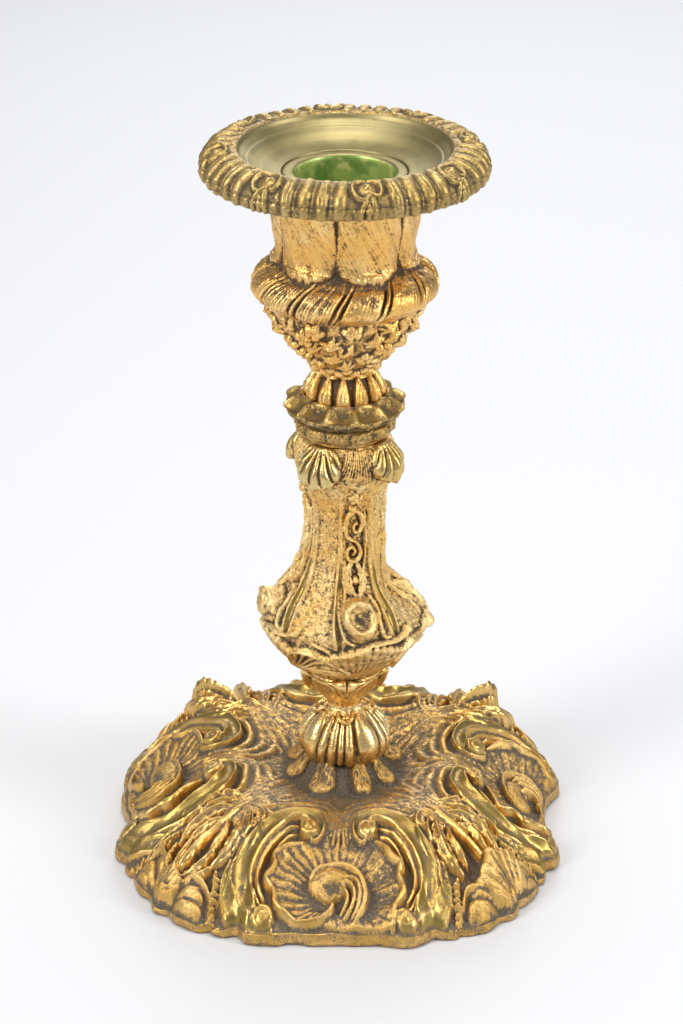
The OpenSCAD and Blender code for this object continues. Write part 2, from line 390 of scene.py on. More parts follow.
area("key_left", (-0.75, -0.55, 0.75), (0, 0, 0.08), 0.36, 6.6, (1.0, 0.985, 0.96), 0.6)
area("key_right", (0.85, -0.35, 0.6), (0, 0, 0.08), 0.30, 5.0, (0.98, 0.99, 1.0), 0.6)
area("top", (0, 0.1, 1.1), (0, 0, 0), 0.6, 5.6, (1, 1, 1))
area("back", (0.1, 0.9, 0.5), (0, 0, 0.1), 0.7, 2.6, (1, 1, 1), 0.4)

world = bpy.data.worlds.new("studio")
world.use_nodes = True
bg = world.node_tree.nodes["Background"]
bg.inputs["Color"].default_value = (0.93, 0.95, 1.0, 1)
bg.inputs["Strength"].default_value = 0.40
bpy.context.scene.world = world

fm = bpy.data.materials.new("studio_floor")
fm.use_nodes = True
fb = fm.node_tree.nodes["Principled BSDF"]
fb.inputs["Base Color"].default_value = (0.70, 0.702, 0.715, 1)
fb.inputs["Roughness"].default_value = 0.6
me = bpy.data.meshes.new("floor")
pts, quads = [], []
prof = [(-2.5, 0), (1.2, 0)] + [(1.2 + 0.6 * math.sin(a), 0.6 - 0.6 * math.cos(a)) for a in np.linspace(0.1, math.pi / 2, 14)] + [(1.8, 2.6)]
for y, z in prof:
    pts += [(-3, y, z), (3, y, z)]
for i in range(len(prof) - 1):
    quads.append((2 * i, 2 * i + 1, 2 * i + 3, 2 * i + 2))
me.from_pydata(pts, [], quads)
for p in me.polygons:
    p.use_smooth = True
floor = bpy.data.objects.new("floor", me)
floor.location.z = -0.0001
me.materials.append(fm)
bpy.context.collection.objects.link(floor)


# ------------------------------------------------------------------ materials
def gilt_material(name, gold, gold2, patina, patina2, polish=(0.34, 0.27, 0.075), lo=0.50, hi=0.80, rough=0.30, spots=0.5, metal_low=0.25, wash=0.0, speck=1.1, bump=0.8):
    m = bpy.data.materials.new(name)
    m.use_nodes = True
    nt = m.node_tree
    n, l = nt.nodes, nt.links
    bs = n["Principled BSDF"]

    def node(kind, **kw):
        x = n.new(kind)
        for k, v in kw.items():
            setattr(x, k, v)
        return x

    def math_(op, a, b=None, clamp=False):
        x = node("ShaderNodeMath", operation=op)
        x.use_clamp = clamp
        for i, v in enumerate((a, b)):
            if v is None:
                continue
            if isinstance(v, (int, float)):
                x.inputs[i].default_value = v
            else:
                l.new(v, x.inputs[i])
        return x.outputs[0]

    def ramp(f, a, b, to0=0.0, to1=1.0):
        x = node("ShaderNodeMapRange", interpolation_type="SMOOTHSTEP")
        l.new(f, x.inputs["Value"])
        x.inputs["From Min"].default_value = a
        x.inputs["From Max"].default_value = b
        x.inputs["To Min"].default_value = to0
        x.inputs["To Max"].default_value = to1
        return x.outputs["Result"]

    def mix(f, a, b):
        x = node("ShaderNodeMix", data_type="RGBA")
        l.new(f, x.inputs[0])
        for i, v in ((6, a), (7, b)):
            if isinstance(v, tuple):
                x.inputs[i].default_value = (*v, 1)
            else:
                l.new(v, x.inputs[i])
        return x.outputs[2]

    co = node("ShaderNodeTexCoord").outputs["Object"]

    def noise(scale, detail=3.0, rough_=0.55):
        x = node("ShaderNodeTexNoise")
        l.new(co, x.inputs["Vector"])
        x.inputs["Scale"].default_value = scale
        x.inputs["Detail"].default_value = detail
        x.inputs["Roughness"].default_value = rough_
        return x.outputs["Fac"]

    cav = node("ShaderNodeAttribute", attribute_name="cav").outputs["Fac"]
    tone = node("ShaderNodeAttribute", attribute_name="tone").outputs["Fac"]
    matt = node("ShaderNodeAttribute", attribute_name="matt").outputs["Fac"]
    broad = noise(90, 2.0)
    mid = noise(650, 4.0, 0.6)
    fine = noise(2600, 3.0, 0.6)
    vor = node("ShaderNodeTexVoronoi")
    l.new(co, vor.inputs["Vector"])
    vor.inputs["Scale"].default_value = 1500
    # patina gathers in the recesses, broken up by noise; the cav attribute also carries painted shade, which darkens
    # here the same way
    f = math_("ADD", cav, math_("MULTIPLY", math_("SUBTRACT", mid, 0.5), 0.95))
    f = math_("ADD", f, math_("MULTIPLY", math_("SUBTRACT", fine, 0.5), speck))
    f = math_("ADD", f, math_("MULTIPLY", math_("SUBTRACT", broad, 0.5), 0.30))
    f = math_("ADD", f, wash)
    f = math_("SUBTRACT", f, math_("MULTIPLY", tone, 0.10))
    patina_and_shade = ramp(f, lo, hi)
    # small dark pits
    pit = math_("MULTIPLY", ramp(vor.outputs["Distance"], 0.10, 0.26, 1.0, 0.0), ramp(mid, 0.52, 0.66))
    patina_and_shade = math_("MAXIMUM", patina_and_shade, math_("MULTIPLY", pit, spots), True)
    col = mix(ramp(broad, 0.35, 0.65), gold, gold2)
    col = mix(math_("MULTIPLY", tone, 0.85), col, polish)
    thin = math_("MULTIPLY", ramp(f, lo - 0.24, lo + 0.04), 0.45)
    col = mix(thin, col, (gold[0] * 0.84, gold[1] * 0.73, gold[2] * 0.56))
    dark = mix(ramp(fine, 0.35, 0.7), patina, patina2)
    col = mix(patina_and_shade, col, dark)
    l.new(col, bs.inputs["Base Color"])
    l.new(math_("SUBTRACT", 1.0, math_("MULTIPLY", patina_and_shade, 1 - metal_low)), bs.inputs["Metallic"])
    r = math_("ADD", math_("MULTIPLY", mid, 0.22), rough - 0.11)
    r = math_("ADD", r, math_("MULTIPLY", matt, 0.10))
    r = math_("ADD", r, math_("MULTIPLY", tone, 0.02))
    r = math_("ADD", r, math_("MULTIPLY", patina_and_shade, 0.38), True)
    l.new(r, bs.inputs["Roughness"])
    # fine casting grain, stronger where the ground is matted
    amt = math_("MULTIPLY", math_("SUBTRACT", 1.0, math_("MULTIPLY", tone, 0.8)), math_("ADD", 0.35, math_("MULTIPLY", matt, 0.65)))
    hgt = math_("MULTIPLY", math_("ADD", fine, math_("MULTIPLY", vor.outputs["Distance"], 0.6)), amt)
    soft = math_("MULTIPLY", math_("ADD", 0.16, math_("MULTIPLY", matt, 0.40)), math_("SUBTRACT", 1.0, math_("MULTIPLY", tone, 0.8)))
    hgt = math_("ADD", hgt, math_("MULTIPLY", mid, soft))
    bp = node("ShaderNodeBump")
    bp.inputs["Strength"].default_value = bump
    bp.inputs["Distance"].default_value = 0.0002
    l.new(hgt, bp.inputs["Height"])
    l.new(bp.outputs["Normal"], bs.inputs["Normal"])
    return m


GOLD, GOLD2 = (0.66, 0.405, 0.115), (0.83, 0.56, 0.21)
PAT, PAT2 = (0.050, 0.034, 0.022), (0.17, 0.12, 0.075)
m_gilt = gilt_material("gilt_bronze", GOLD, GOLD2, (0.078, 0.060, 0.042), (0.225, 0.172, 0.115), lo=0.44, hi=0.76, spots=0.8, rough=0.31, metal_low=0.15)
m_stem = gilt_material("gilt_bronze_stem", (0.92, 0.60, 0.20), (0.99, 0.75, 0.36), PAT, PAT2, lo=0.54, hi=0.86, spots=0.7, rough=0.28, bump=1.0)
m_bright = gilt_material("bright_gilt", (0.90, 0.59, 0.20), (0.98, 0.74, 0.36), PAT, (0.24, 0.12, 0.045), lo=0.55, hi=0.86, rough=0.25, spots=0.7)
m_red = gilt_material("red_gilt", (0.90, 0.53, 0.15), (0.98, 0.68, 0.28), (0.070, 0.045, 0.028), (0.20, 0.125, 0.065), lo=0.57, hi=0.88, rough=0.30, spots=0.4, speck=0.85)
m_pale = gilt_material("pale_brass", (0.46, 0.32, 0.11), (0.56, 0.41, 0.17), (0.065, 0.048, 0.030), (0.17, 0.125, 0.07), polish=(0.34, 0.29, 0.11), lo=0.44, hi=0.80, rough=0.38, spots=0.6)


# ------------------------------------------------------------------ the foot
def mirror(pts):
    return [(-a, b) for a, b in pts]


def make_base():
    nu, nr = 1240, 206
    th = np.arange(nu) / nu * TAU
    deg = np.degrees
    # outline of the foot over one quarter, from the middle of a cartouche
    A = [0, 5, 9, 11, 13, 16, 18.5, 21, 23, 24.3, 26, 28.5, 30.2, 32, 35, 38, 40.3, 41.6, 43.5, 45]
    B = [57.6, 58.0, 58.2, 58.4, 59.2, 60.4, 60.5, 59.9, 58.4, 57.9, 59.2, 59.9, 58.7, 59.8, 60.7, 60.5, 59.7, 59.8, 60.9, 61.3]
    A2 = A + [90 - x for x in A[-2::-1]]
    B2 = B + [b - 0.3 * math.sin(i * 2.1) for i, b in enumerate(B[-2::-1])]
    B2[-1] = B2[0]
    phi = (th - rad(-90 + FOOT_TURN)) % (math.pi / 2)
    Rout = np.interp(deg(phi), A2, B2)
    k = np.array([0.06, 0.24, 0.4, 0.24, 0.06])
    Rout = sum(w * np.roll(Rout, i - 2) for i, w in enumerate(k))
    Rout = Rout - 3.1 * np.clip(np.cos(th), 0, 1) ** 5 + 1.0 * np.clip(-np.cos(th + 0.25), 0, 1) ** 5 + 0.35 * np.sin(th * 3 + 1.0)
    Rnom = Rout
    for c, w, p, d in ((231, 17, 2, 3.1), (303, 15, 2, 2.3), (-3, 13, 4, -3.2), (28, 10, 2, 2.7), (186, 7.5, 2, -3.0), (201, 6, 2, 1.1), (143, 11, 2, 2.5)):
        off = (deg(th) - c + 180) % 360 - 180
        Rout = Rout + d * np.exp(-np.abs(off / w) ** p)
    corner = np.abs(((deg(phi) + 45) % 90) - 45)          # 0 at a cartouche, 45 at a corner
    low = sm(22, 29, corner)
    t = np.linspace(0, 1, nr)
    rho = 9.3 + (Rout[:, None] - 9.3) * t[None, :]
    rn = rho * 58.6 / Rout[:, None]
    xs = [0, 9.3, 10.4, 12.6, 15, 20, 26, 33.5, 39, 45, 50.5, 54, 56.4, 57.7, 58.6]
    Zm = np.interp(rn, xs, [22.5, 22.3, 19.2, 16.9, 16.5, 17.2, 18.0, 17.6, 15.8, 12.9, 9.7, 7.4, 5.8, 4.6, 3.0])
    Zc = np.interp(rn, xs, [22.5, 22.3, 19.2, 16.9, 16.5, 17.2, 18.0, 17.6, 15.6, 12.4, 8.6, 5.6, 3.6, 2.5, 1.7])
    Z0 = blur(Zm + (Zc - Zm) * low[:, None], 0, 2.4)
    # the casting stands a little higher towards the back
    Z0 = Z0 + 2.3 * sm(-0.35, 0.9, np.sin(th))[:, None] * sm(20, 34, rn) * sm(58.6, 49, rn)
    rel = Relief(rho.shape)
    X, Y = rho * np.cos(th)[:, None], rho * np.sin(th)[:, None]
    # the ornament keeps its place between the middle and the edge
    flat = 9.3 + (Rnom[:, None] - 9.3) * t[None, :]
    XN, YN = flat * np.cos(th)[:, None], flat * np.sin(th)[:, None]

    def local(phi0):
        o = (math.cos(phi0), math.sin(phi0))
        return rel.view(-XN * o[1] + YN * o[0], XN * o[0] + YN * o[1])

    views = [(local(rad(-90 + FOOT_TURN + 90 * q)), local(rad(-45 + FOOT_TURN + 90 * q)), np.random.default_rng(40 + q)) for q in range(4)]
    shell_c = (0.2, 50.0)
    lip = [(-4.2, 35.2), (-7.4, 38.0), (-10.3, 37.9), (-12.4, 38.6), (-14.6, 39.6), (-15.4, 41.0), (-15.0, 42.8), (-15.6, 44.6),
           (-16.9, 46.0), (-16.8, 47.4), (-15.6, 49.0), (-14.9, 50.5), (-14.7, 52.4), (-13.4, 54.0), (-11.4, 55.2), (-9.3, 56.3),
           (-6.2, 56.6), (-3.4, 56.3), (0.5, 57.2), (5, 57.4), (10, 57.5), (13.6, 56.8), (14.3, 54.7), (14.3, 53.0), (15.2, 51.5), (16.4, 49.6), (16.2, 47.7),
           (15.3, 45.6), (15.4, 43.0), (13.2, 41.3), (11.6, 39.4), (9.6, 36.9), (7.0, 37.0), (4.0, 35.0), (0, 32.5)]
    la = np.array([math.atan2(b - shell_c[1], a - shell_c[0]) for a, b in lip])
    lr = np.array([math.hypot(b - shell_c[1], a - shell_c[0]) for a, b in lip])
    o = np.argsort(la)
    la, lr = la[o], lr[o]
    la = np.r_[la - TAU, la, la + TAU]
    lr = np.r_[lr, lr, lr]

    # ---- ground: hollows behind the cartouches and the corner sprays
    for V, K, jit in views:
        a, b = V.u, V.v
        near = np.nonzero((np.abs(a) < 30) & (b > 18))[0]
        aa, bb = a[near], b[near]
        V.H[near] -= 1.7 * np.exp(-((np.abs(aa) / 19.5) ** 6 + (np.abs(bb - 47.0) / 11.5) ** 6))
        near = np.nonzero((np.abs(K.u) < 20) & (K.v > 22))[0]
        ku, kv = K.u[near], K.v[near]
        K.H[near] -= 1.3 * np.exp(-((np.abs(ku) / 15) ** 4 + (np.abs(kv - 46) / 10) ** 4))
        K.patina_and_shade_spot((0, 47), 9, 9, 0.10)

    # ---- flowing strands of the plateau
    for V, K, jit in views:
        for sgn in (-1, 1):
            M = (lambda p: p) if sgn < 0 else mirror
            for k in range(4):
                e = 0.4 * jit.normal()
                K.ridge(M([(-1.6 - 3.0 * k, 15.5 + e), (-1.3 - 2.3 * k + e, 20), (-0.9 - 1.5 * k, 26 + e), (-0.7 - 0.95 * k, 32), (-0.5 - 0.6 * k, 37.5)]),
                        [0.7, 1.6, 1.7, 1.3, 0.6], [0.3, 0.9 + 0.5 * jit.uniform(), 1.3, 1.4, 0.9], mode="max", p=0.8)
            for k in range(5):
                pts = [(3.1 - 0.62 * k, 35.2 - 0.3 * k), (3.0 - 0.6 * k, 30.4 - 0.5 * k), (4.6 - 0.5 * k, 26.7 - 1.2 * k), (8.5 - 0.15 * k, 24.9 - 1.6 * k),
                       (13.2 + 0.15 * k, 25.1 - 1.55 * k), (17.6 + 0.7 * k, 27.1 - 1.4 * k), (21.2 + 1.3 * k, 30.0 - 1.2 * k)]
                if k in (0, 2, 4):
                    V.ridge(mirror(pts) if sgn < 0 else pts, [0.5, 1.1, 1.5, 1.7, 1.5, 1.2, 0.5], [0.5, 1.2, 1.75 - 0.2 * k, 1.7 - 0.2 * k, 1.4 - 0.15 * k, 1.0, 0.4], p=0.8)
        for k in (-1, 0, 1):
            V.ridge([(1.35 * k, 37.0), (0.95 * k, 32), (0.6 * k, 27), (0.5 * k, 23.5)], [0.3, 0.55, 0.55, 0.3], [0.3, 0.8, 0.8, 0.4])

    # ---- corner sprays
    for q, (V, K, jit) in enumerate(views):
        j = lambda p: [(x + 0.25 * jit.normal(), y + 0.25 * jit.normal()) for x, y in p]
        for sgn in (-1, 1):
            M = (lambda p: p) if sgn < 0 else mirror
            # big frond that rolls over the scroll's shoulder
            K.leaf(M(j([(-2.2, 30.5), (-5.8, 32.0), (-9.2, 35.2), (-11.2, 39.4), (-11.8, 43.4), (-11.0, 46.6)])), [0.8, 2.2, 2.9, 2.9, 2.3, 0.9],
                   [1.0, 2.2, 2.8, 2.8, 2.4, 1.2], lobes=6, vein=0.4, cut=0.3, hollow=0.35)
            for k in range(3):
                K.ridge(M(j([(-3.0 - 0.8 * k, 33.4 + 0.8 * k), (-6.6 - 0.7 * k, 36.2 + 1.2 * k), (-8.4 - 0.9 * k, 40.4 + 1.1 * k), (-8.6 - 1.1 * k, 44.4 + 1.0 * k)])), [0.2, 0.4, 0.4, 0.2], [1.6, 2.7, 2.7, 1.5])
            K.leaf(M(j([(-1.8, 34.5), (-4.6, 37.6), (-6.6, 41.6), (-7.4, 45.6), (-6.8, 49.0)])), [0.7, 1.7, 2.0, 1.8, 0.7],
                   [1.2, 2.4, 2.8, 2.5, 1.4], lobes=5, vein=0.35, cut=0.3, hollow=0.35)
            K.leaf(M(j([(-1.0, 38.5), (-2.9, 41.6), (-4.0, 45.0), (-4.2, 48.4)])), [0.6, 1.3, 1.4, 0.5], [1.4, 2.6, 2.7, 1.5], lobes=4, vein=0.35, cut=0.25)
            K.leaf(M(j([(-10.2, 45.0), (-12.4, 48.0), (-13.6, 51.2), (-13.6, 54.0)])), [0.9, 1.6, 1.5, 0.6], [1.6, 2.5, 2.3, 1.2], lobes=5, vein=0.35, cut=0.35)
            # husks in a string down to the edge
            hp = smooth_path(M([(-9.6, 49.6), (-11.6, 52.2), (-13.8, 55.0), (-16.0, 57.8), (-17.4, 59.8)]), 0.25)
            for n in range(9):
                c = hp[int((n + 0.5) / 9 * (len(hp) - 1))]
                for e in (-1, 1):
                    K.dome((c[0] + 0.55 * e, c[1] + 0.25 * e * sgn), 0.85, 0.62, -55 * sgn + 30 * e, 2.4 + 0.25 * jit.normal(), p=0.6, ribs=7, amp=0.15)
            K.matt(M([(-13.5, 54.5)])[0], 5.5, 1.0)
            # petals at the side of the flower
            K.dome(M([(-7.6, 56.9)])[0], 5.7, 3.7, -28 if sgn < 0 else 28, 3.7, p=0.5, ribs=17, amp=0.34, root=M([(-0.2, 60.2)])[0])
            for k in range(5):
                K.ridge(M([(-2.6, 59.6 - 0.25 * k), (-6.2 - 0.2 * k, 58.9 - 0.95 * k), (-9.8 - 0.1 * k, 59.2 - 1.9 * k)]), [0.2, 0.35, 0.2], 0.45, mode="sub", p=1)
            K.ridge(M(j([(-2.4, 56.2), (-5.4, 53.6), (-9.4, 53.0), (-12.2, 54.4)])), [0.4, 0.7, 0.7, 0.4], [3.0, 4.0, 3.8, 2.8], p=0.7)
            K.matt(M([(-8.7, 57.5)])[0], 7, 0.9)
            K.dome(M([(-9.6, 59.4)])[0], 4.3, 1.8, -14 if sgn < 0 else 14, 3.5, p=0.6, ribs=40, amp=0.13, root=M([(-0.6, 61)])[0])
            K.dome(M([(-5.2, 53.2)])[0], 1.7, 1.3, 60 * -sgn, 4.0, p=0.6, ribs=9)
            for n in range(5):
                K.dome(M([(-3.2 - 0.9 * n, 60.6 - 0.15 * n)])[0], 0.8, 0.8, 0, 2.2 + 0.2 * jit.normal(), p=0.6)
        # stalk
        K.ridge([(0, 18), (0, 26), (-0.3, 34), (0.2, 41), (0, 47), (0, 51)], [0.5, 1.0, 1.1, 1.0, 1.0, 0.9], [0.5, 1.1, 1.6, 2.0, 2.8, 3.6])
        for x0, x1, x2, y2, w_, h_ in () if q == 0 else ((-1.6, -3.2, -4.4, 46.0, 1.5, 3.1), (1.7, 3.4, 4.6, 46.4, 1.5, 3.1), (0.0, 0.3, 0.1, 44.6, 1.6, 3.9), (-2.6, -5.4, -7.0, 49.6, 1.4, 2.9), (2.6, 5.4, 7.0, 49.8, 1.4, 2.9)):
            K.leaf(j([(x0, 56.5), (x1, (56.5 + y2) / 2), (x2, y2)]), [0.8, w_, 0.7], [2.6, h_, h_ * 0.8], lobes=4, vein=0.45, cut=0.25, hollow=0.25)
        # the middle petal of the flower: a ribbed, softly lobed bowl with a rolled tip
        near = np.nonzero((np.abs(K.u) < 8) & (K.v > 46) & (K.v < 63))[0]
        ux = 2.0 if q == 0 else 0.0
        x, y = K.u[near] - ux, 61.4 - K.v[near]
        a_, r_ = np.arctan2(x, y), np.hypot(x, y)
        lim = (12.2 if q == 0 else 7.4) * (1 - 0.27 * (np.abs(a_) / rad(52)) ** 2.4) * (1 + 0.035 * np.cos(a_ * 11 + 0.7))
        ins = (r_ < lim) & (np.abs(a_) < rad(58)) & (y > 0)
        f = r_[ins] / lim[ins]
        side = np.clip(1 - (np.abs(a_[ins]) / rad(58)) ** 4, 0, 1) ** 0.5
        hh = (1.8 + (3.7 if q == 0 else 2.9) * sm(0.0, 0.75, f) - 1.3 * sm(0.82, 1.0, f)) * (0.45 + 0.55 * side)
        hh += (0.22 * np.cos(a_[ins] * 26 + 0.8 * np.sin(r_[ins])) + 0.14 * np.cos(a_[ins] * 57)) * sm(0.15, 0.4, f)
        K.G[near[ins]] = 0.8
        K.put(near[ins], hh, "max")
        K.patina_and_shade_spot((ux, 55.9), 3.0, 1.3, 0.14)
        K.dome((ux + 0.4, 59.0), 2.1, 2.1, 90, 4.7, p=0.5, ribs=7, amp=0.1, root=(ux + 0.4, 59.0))
        K.dome((ux + 0.4, 58.4), 0.8, 0.6, 0, 0.9, mode="sub", p=0.8)
    # at the two back corners a pointed leaf stands up from the spray
    for q in (1, 2):
        K = views[q][1]
        e = -0.2 if q == 1 else 1.15
        K.leaf([(0.8 * e, 40.5), (1.6 * e, 45.0), (2.4 * e, 49.5), (2.9 * e, 52.6), (3.2 * e, 54.8)], [1.5, 2.6, 2.8, 1.9, 0.6], [3.2, 6.2, 9.2, 12.2, 13.2], lobes=6, vein=1.0, cut=0.4, hollow=0.35)
        for sgn in (-1, 1):
            K.ridge([(0.8 * e + 1.0 * sgn, 42.0), (1.6 * e + 1.9 * sgn, 46.0), (2.6 * e + 1.9 * sgn, 50.5), (3.0 * e + 0.9 * sgn, 53.4)], [0.4, 0.6, 0.6, 0.4], [0.5, 0.9, 0.9, 0.5], mode="add", p=0.9)
        for sgn in (-1, 1):
            K.leaf([(2.0 * sgn, 41.0), (5.2 * sgn, 45.0), (7.0 * sgn, 49.0), (7.6 * sgn, 52.6)], [1.0, 2.2, 2.1, 0.6], [2.6, 4.8, 6.0, 6.0], lobes=4, vein=0.5, cut=0.3, hollow=0.2)

    # ---- the shell in each cartouche
    for V, K, jit in views:
        a, b = V.u, V.v
        near = np.nonzero((np.abs(a) < 19) & (b > 30) & (b < 60))[0]
        aa, bb = a[near] - shell_c[0], b[near] - shell_c[1]
        ang, r = np.arctan2(bb, aa), np.hypot(aa, bb)
        edge = np.interp(ang, la, lr)
        f = r / edge
        ins = f < 1
        i, f, ang, r = near[ins], f[ins], ang[ins], r[ins]
        up = np.clip(-np.sin(ang), 0, 1)
        hh = -1.9 + 3.3 * f ** 2.1 - 1.2 * up ** 3 * f ** 2
        hh[bb[ins] > 3.5] = (hh * (0.55 + 0.3 * (aa[ins] > 3)))[bb[ins] > 3.5]
        left = sm(0.3, -0.6, np.cos(ang))
        hh += (0.10 + 0.17 * left) * np.cos(ang * 38 + 1.5 * np.sin(ang * 5) + 0.5 * np.sin(r)) * sm(0.36, 0.62, f) * sm(1.0, 0.9, f)
        hh += 0.12 * np.cos(ang * 13 + 2) * sm(0.4, 0.9, f) + 0.06 * np.cos(ang * 71)
        V.H[i] = np.maximum(V.H[i], hh)
        V.T[i] = 0
        V.G[i] = 0.9
        V.D[i] = 0.22 * np.exp(-((f - 0.42) / 0.17) ** 2) + 0.04
        V.patina_and_shade_spot((9.5, 51.5), 4.5, 4.5, 0.20)
        # raised wavy lips
        V.ridge([(-7.2, 37.4), (-10.3, 37.9), (-12.4, 38.6), (-14.6, 39.6), (-15.4, 41.0), (-15.0, 42.8), (-15.6, 44.6), (-16.9, 46.0), (-16.8, 47.4),
                 (-15.6, 49.0), (-14.9, 50.5), (-14.7, 52.4), (-13.4, 54.0), (-11.4, 55.2), (-9.3, 56.3), (-6.2, 56.6), (-3.4, 56.0), (-1.4, 54.6), (-0.5, 52.9)],
                [0.4, 0.65, 0.75, 0.8, 0.75, 0.7, 0.65, 0.6, 0.65], [1.0, 1.7, 2.4, 2.5, 2.3, 2.1, 2.1, 2.1, 2.2])
        V.ridge([(8.6, 36.2), (10.2, 37.6), (11.8, 39.4), (13.2, 41.3), (15.4, 43.0), (15.3, 45.6), (16.2, 47.7), (16.4, 49.6), (15.2, 51.5), (14.3, 53.0), (14.5, 54.7), (14.0, 57.2)],
                [0.4, 0.7, 1.15, 1.25, 1.15, 1.0, 1.0, 0.9, 0.8, 0.6], [1.0, 1.8, 2.8, 3.0, 2.8, 2.6, 2.5, 2.2, 1.9, 1.4])
        V.matt((9.5, 51), 7, 1.0)
        # the coiled centre
        V.dome((-1.6, 47.4), 5.2, 3.7, -12, 2.0, p=0.6)
        V.dome((-1.2, 49.6), 3.2, 1.8, -20, 1.5, mode="sub", p=0.7)
        V.matt((-1.6, 47.4), 5.6, 1.0)
        V.patina_and_shade_spot((-1.2, 49.2), 3.4, 2.2, 0.18)
        V.ridge([(-6.6, 48.4), (-6.4, 46.3), (-4.9, 44.6), (-1.8, 43.6), (1.3, 43.5), (4.2, 44.8), (6.2, 47.0), (7.3, 49.8), (7.1, 52.2), (6.3, 54.3), (5.0, 56.0)],
                [0.3, 0.5, 0.6, 0.65, 0.75, 0.9, 0.95, 0.9, 0.8, 0.5], [0.3, 1.1, 1.5, 1.8, 2.1, 2.4, 2.4, 2.1, 1.7, 0.9])
        V.ridge([(2.6, 45.8), (4.4, 47.0), (5.4, 48.6), (5.9, 50.8), (5.5, 53.2), (4.3, 55.4)], [0.3, 0.65, 0.7, 0.7, 0.6, 0.4], [1.2, 2.3, 2.6, 2.5, 2.0, 1.1])
        V.ridge([(1.7, 46.8), (3.3, 48.0), (4.3, 49.8), (4.5, 51.8), (3.7, 53.9), (2.4, 55.4)], [0.3, 0.6, 0.7, 0.7, 0.6, 0.4], [1.4, 2.3, 2.6, 2.4, 1.9, 1.1])
        V.ridge([(1.0, 48.6), (2.2, 49.6), (2.9, 51.2), (2.6, 52.9), (1.6, 54.3)], [0.3, 0.55, 0.6, 0.6, 0.4], [1.2, 2.0, 2.3, 2.0, 1.1])
        V.dome((0.3, 51.7), 1.3, 1.7, 0, 1.6, mode="sub", p=0.8, tone=0.6)

    # ---- the two C-scrolls of each cartouche, cleanly over everything else
    for V, K, jit in views:
        for sgn in (-1, 1):
            m = (lambda p: p) if sgn < 0 else mirror
            low_ = m([(-25.9, 40.2), (-26.0, 44.2), (-25.6, 47.8), (-24.5, 51.2), (-22.8, 54.2), (-20.8, 56.4), (-18.6, 57.4), (-16.8, 57.2)])
            V.channel(low_, [0.5, 1.4, 2.0, 2.3, 2.4, 2.3, 1.8], [1.6, 2.2, 2.5, 2.6, 2.3, 1.6, 0.7, 0.3], hollow=0.42, twist=0.10 * sgn)
            band = m([(-5.9, 36.6), (-4.9, 34.0), (-6.0, 31.1), (-9.4, 29.2), (-13.6, 30.2), (-17.0, 33.0), (-19.6, 36.4), (-21.3, 39.8), (-22.1, 43.0),
                      (-22.1, 46.2), (-21.4, 49.4), (-20.3, 52.2), (-19.2, 54.2)])
            V.channel(band, [1.4, 2.0, 2.3, 2.6, 2.9, 3.0, 2.9, 2.6, 2.2, 1.6, 0.9], [2.8, 3.5, 3.8, 3.8, 3.6, 3.5, 3.4, 3.2, 2.9, 2.4, 1.7], hollow=0.42, twist=0.16 * sgn, rim=0.74)
            # a second, plainer moulding along its inner side
            V.ridge(m([(-9.4, 32.6), (-12.6, 33.5), (-15.3, 36.0), (-17.5, 39.4), (-18.8, 42.7), (-19.1, 45.8), (-18.5, 48.8), (-17.3, 51.4)]), [0.4, 0.7, 0.85, 0.9, 0.9, 0.85, 0.7, 0.4], [0.8, 1.6, 1.9, 2.0, 1.9, 1.8, 1.6, 0.9], p=0.5)
            V.ridge(m([(-8.8, 34.6), (-11.6, 35.2), (-14.0, 37.4), (-15.8, 40.0)]), [0.3, 0.5, 0.55, 0.3], [0.3, 0.9, 1.0, 0.5], p=0.6)
            V.disc(m([(-7.1, 34.6)])[0], 2.5, 3.1, tone=0.25, turn=sgn)
            V.disc(m([(-17.3, 54.9)])[0], 2.6, 0.9, tone=0.35, turn=-sgn)
            V.ridge(m([(-20.6, 43.5), (-20.4, 46.8), (-19.5, 49.8), (-18.2, 52.4)]), [0.2, 0.4, 0.4, 0.25], [2.0, 2.9, 2.7, 1.6])
            V.ridge(m([(-8.5, 26.3), (-12.9, 26.5), (-16.8, 28.8), (-20.2, 31.8), (-22.8, 35.2), (-24.9, 39.2), (-25.6, 42.0)]), 0.5, 0.9, mode="sub", p=1)

    rel.rough[:] = rel.rough * (0.35 + 0.65 * sm(30, 37, rho))
    # ---- rounded tabs round the middle
    tb = np.zeros(rho.shape)
    for n, (turn, wide) in enumerate(((0, 2.5), (-11, 2.3), (0, 2.8), (4, 3.0), (-3, 2.6), (2, 3.1), (-4, 2.7), (-2, 3.3))):
        V = local(rad(-90 + FOOT_TURN + 22.5 + 45 * n + turn))
        V.ridge([(0, 11.0), (0.15, 12.2), (0.1, 13.3)], [wide * 0.85, wide, wide * 0.95], [2.9, 3.3, 3.0], p=0.42)
        V.ridge([(-0.9, 11), (-0.7, 12.8), (-0.5, 14.5)], [0.3, 0.35, 0.2], 0.35, mode="sub", p=0.8)
        V.matt((0, 12.8), 4.2, 1.0)
    rel.patina_and_shade += 0.26 * sm(17.5, 14.5, rho) * (rel.h < 1.2) + 0.125 * sm(37, 26, rho)
    for n in range(21):
        V = local(rad(n * 360 / 21 + 3 * math.sin(n * 1.7)))
        V.ridge([(0, 16.2), (0.6 * math.sin(n), 19), (1.6 * math.sin(n * 2.2), 24)], [0.5, 0.9, 0.5], [0.2, 0.35, 0.2], mode="add", p=1)

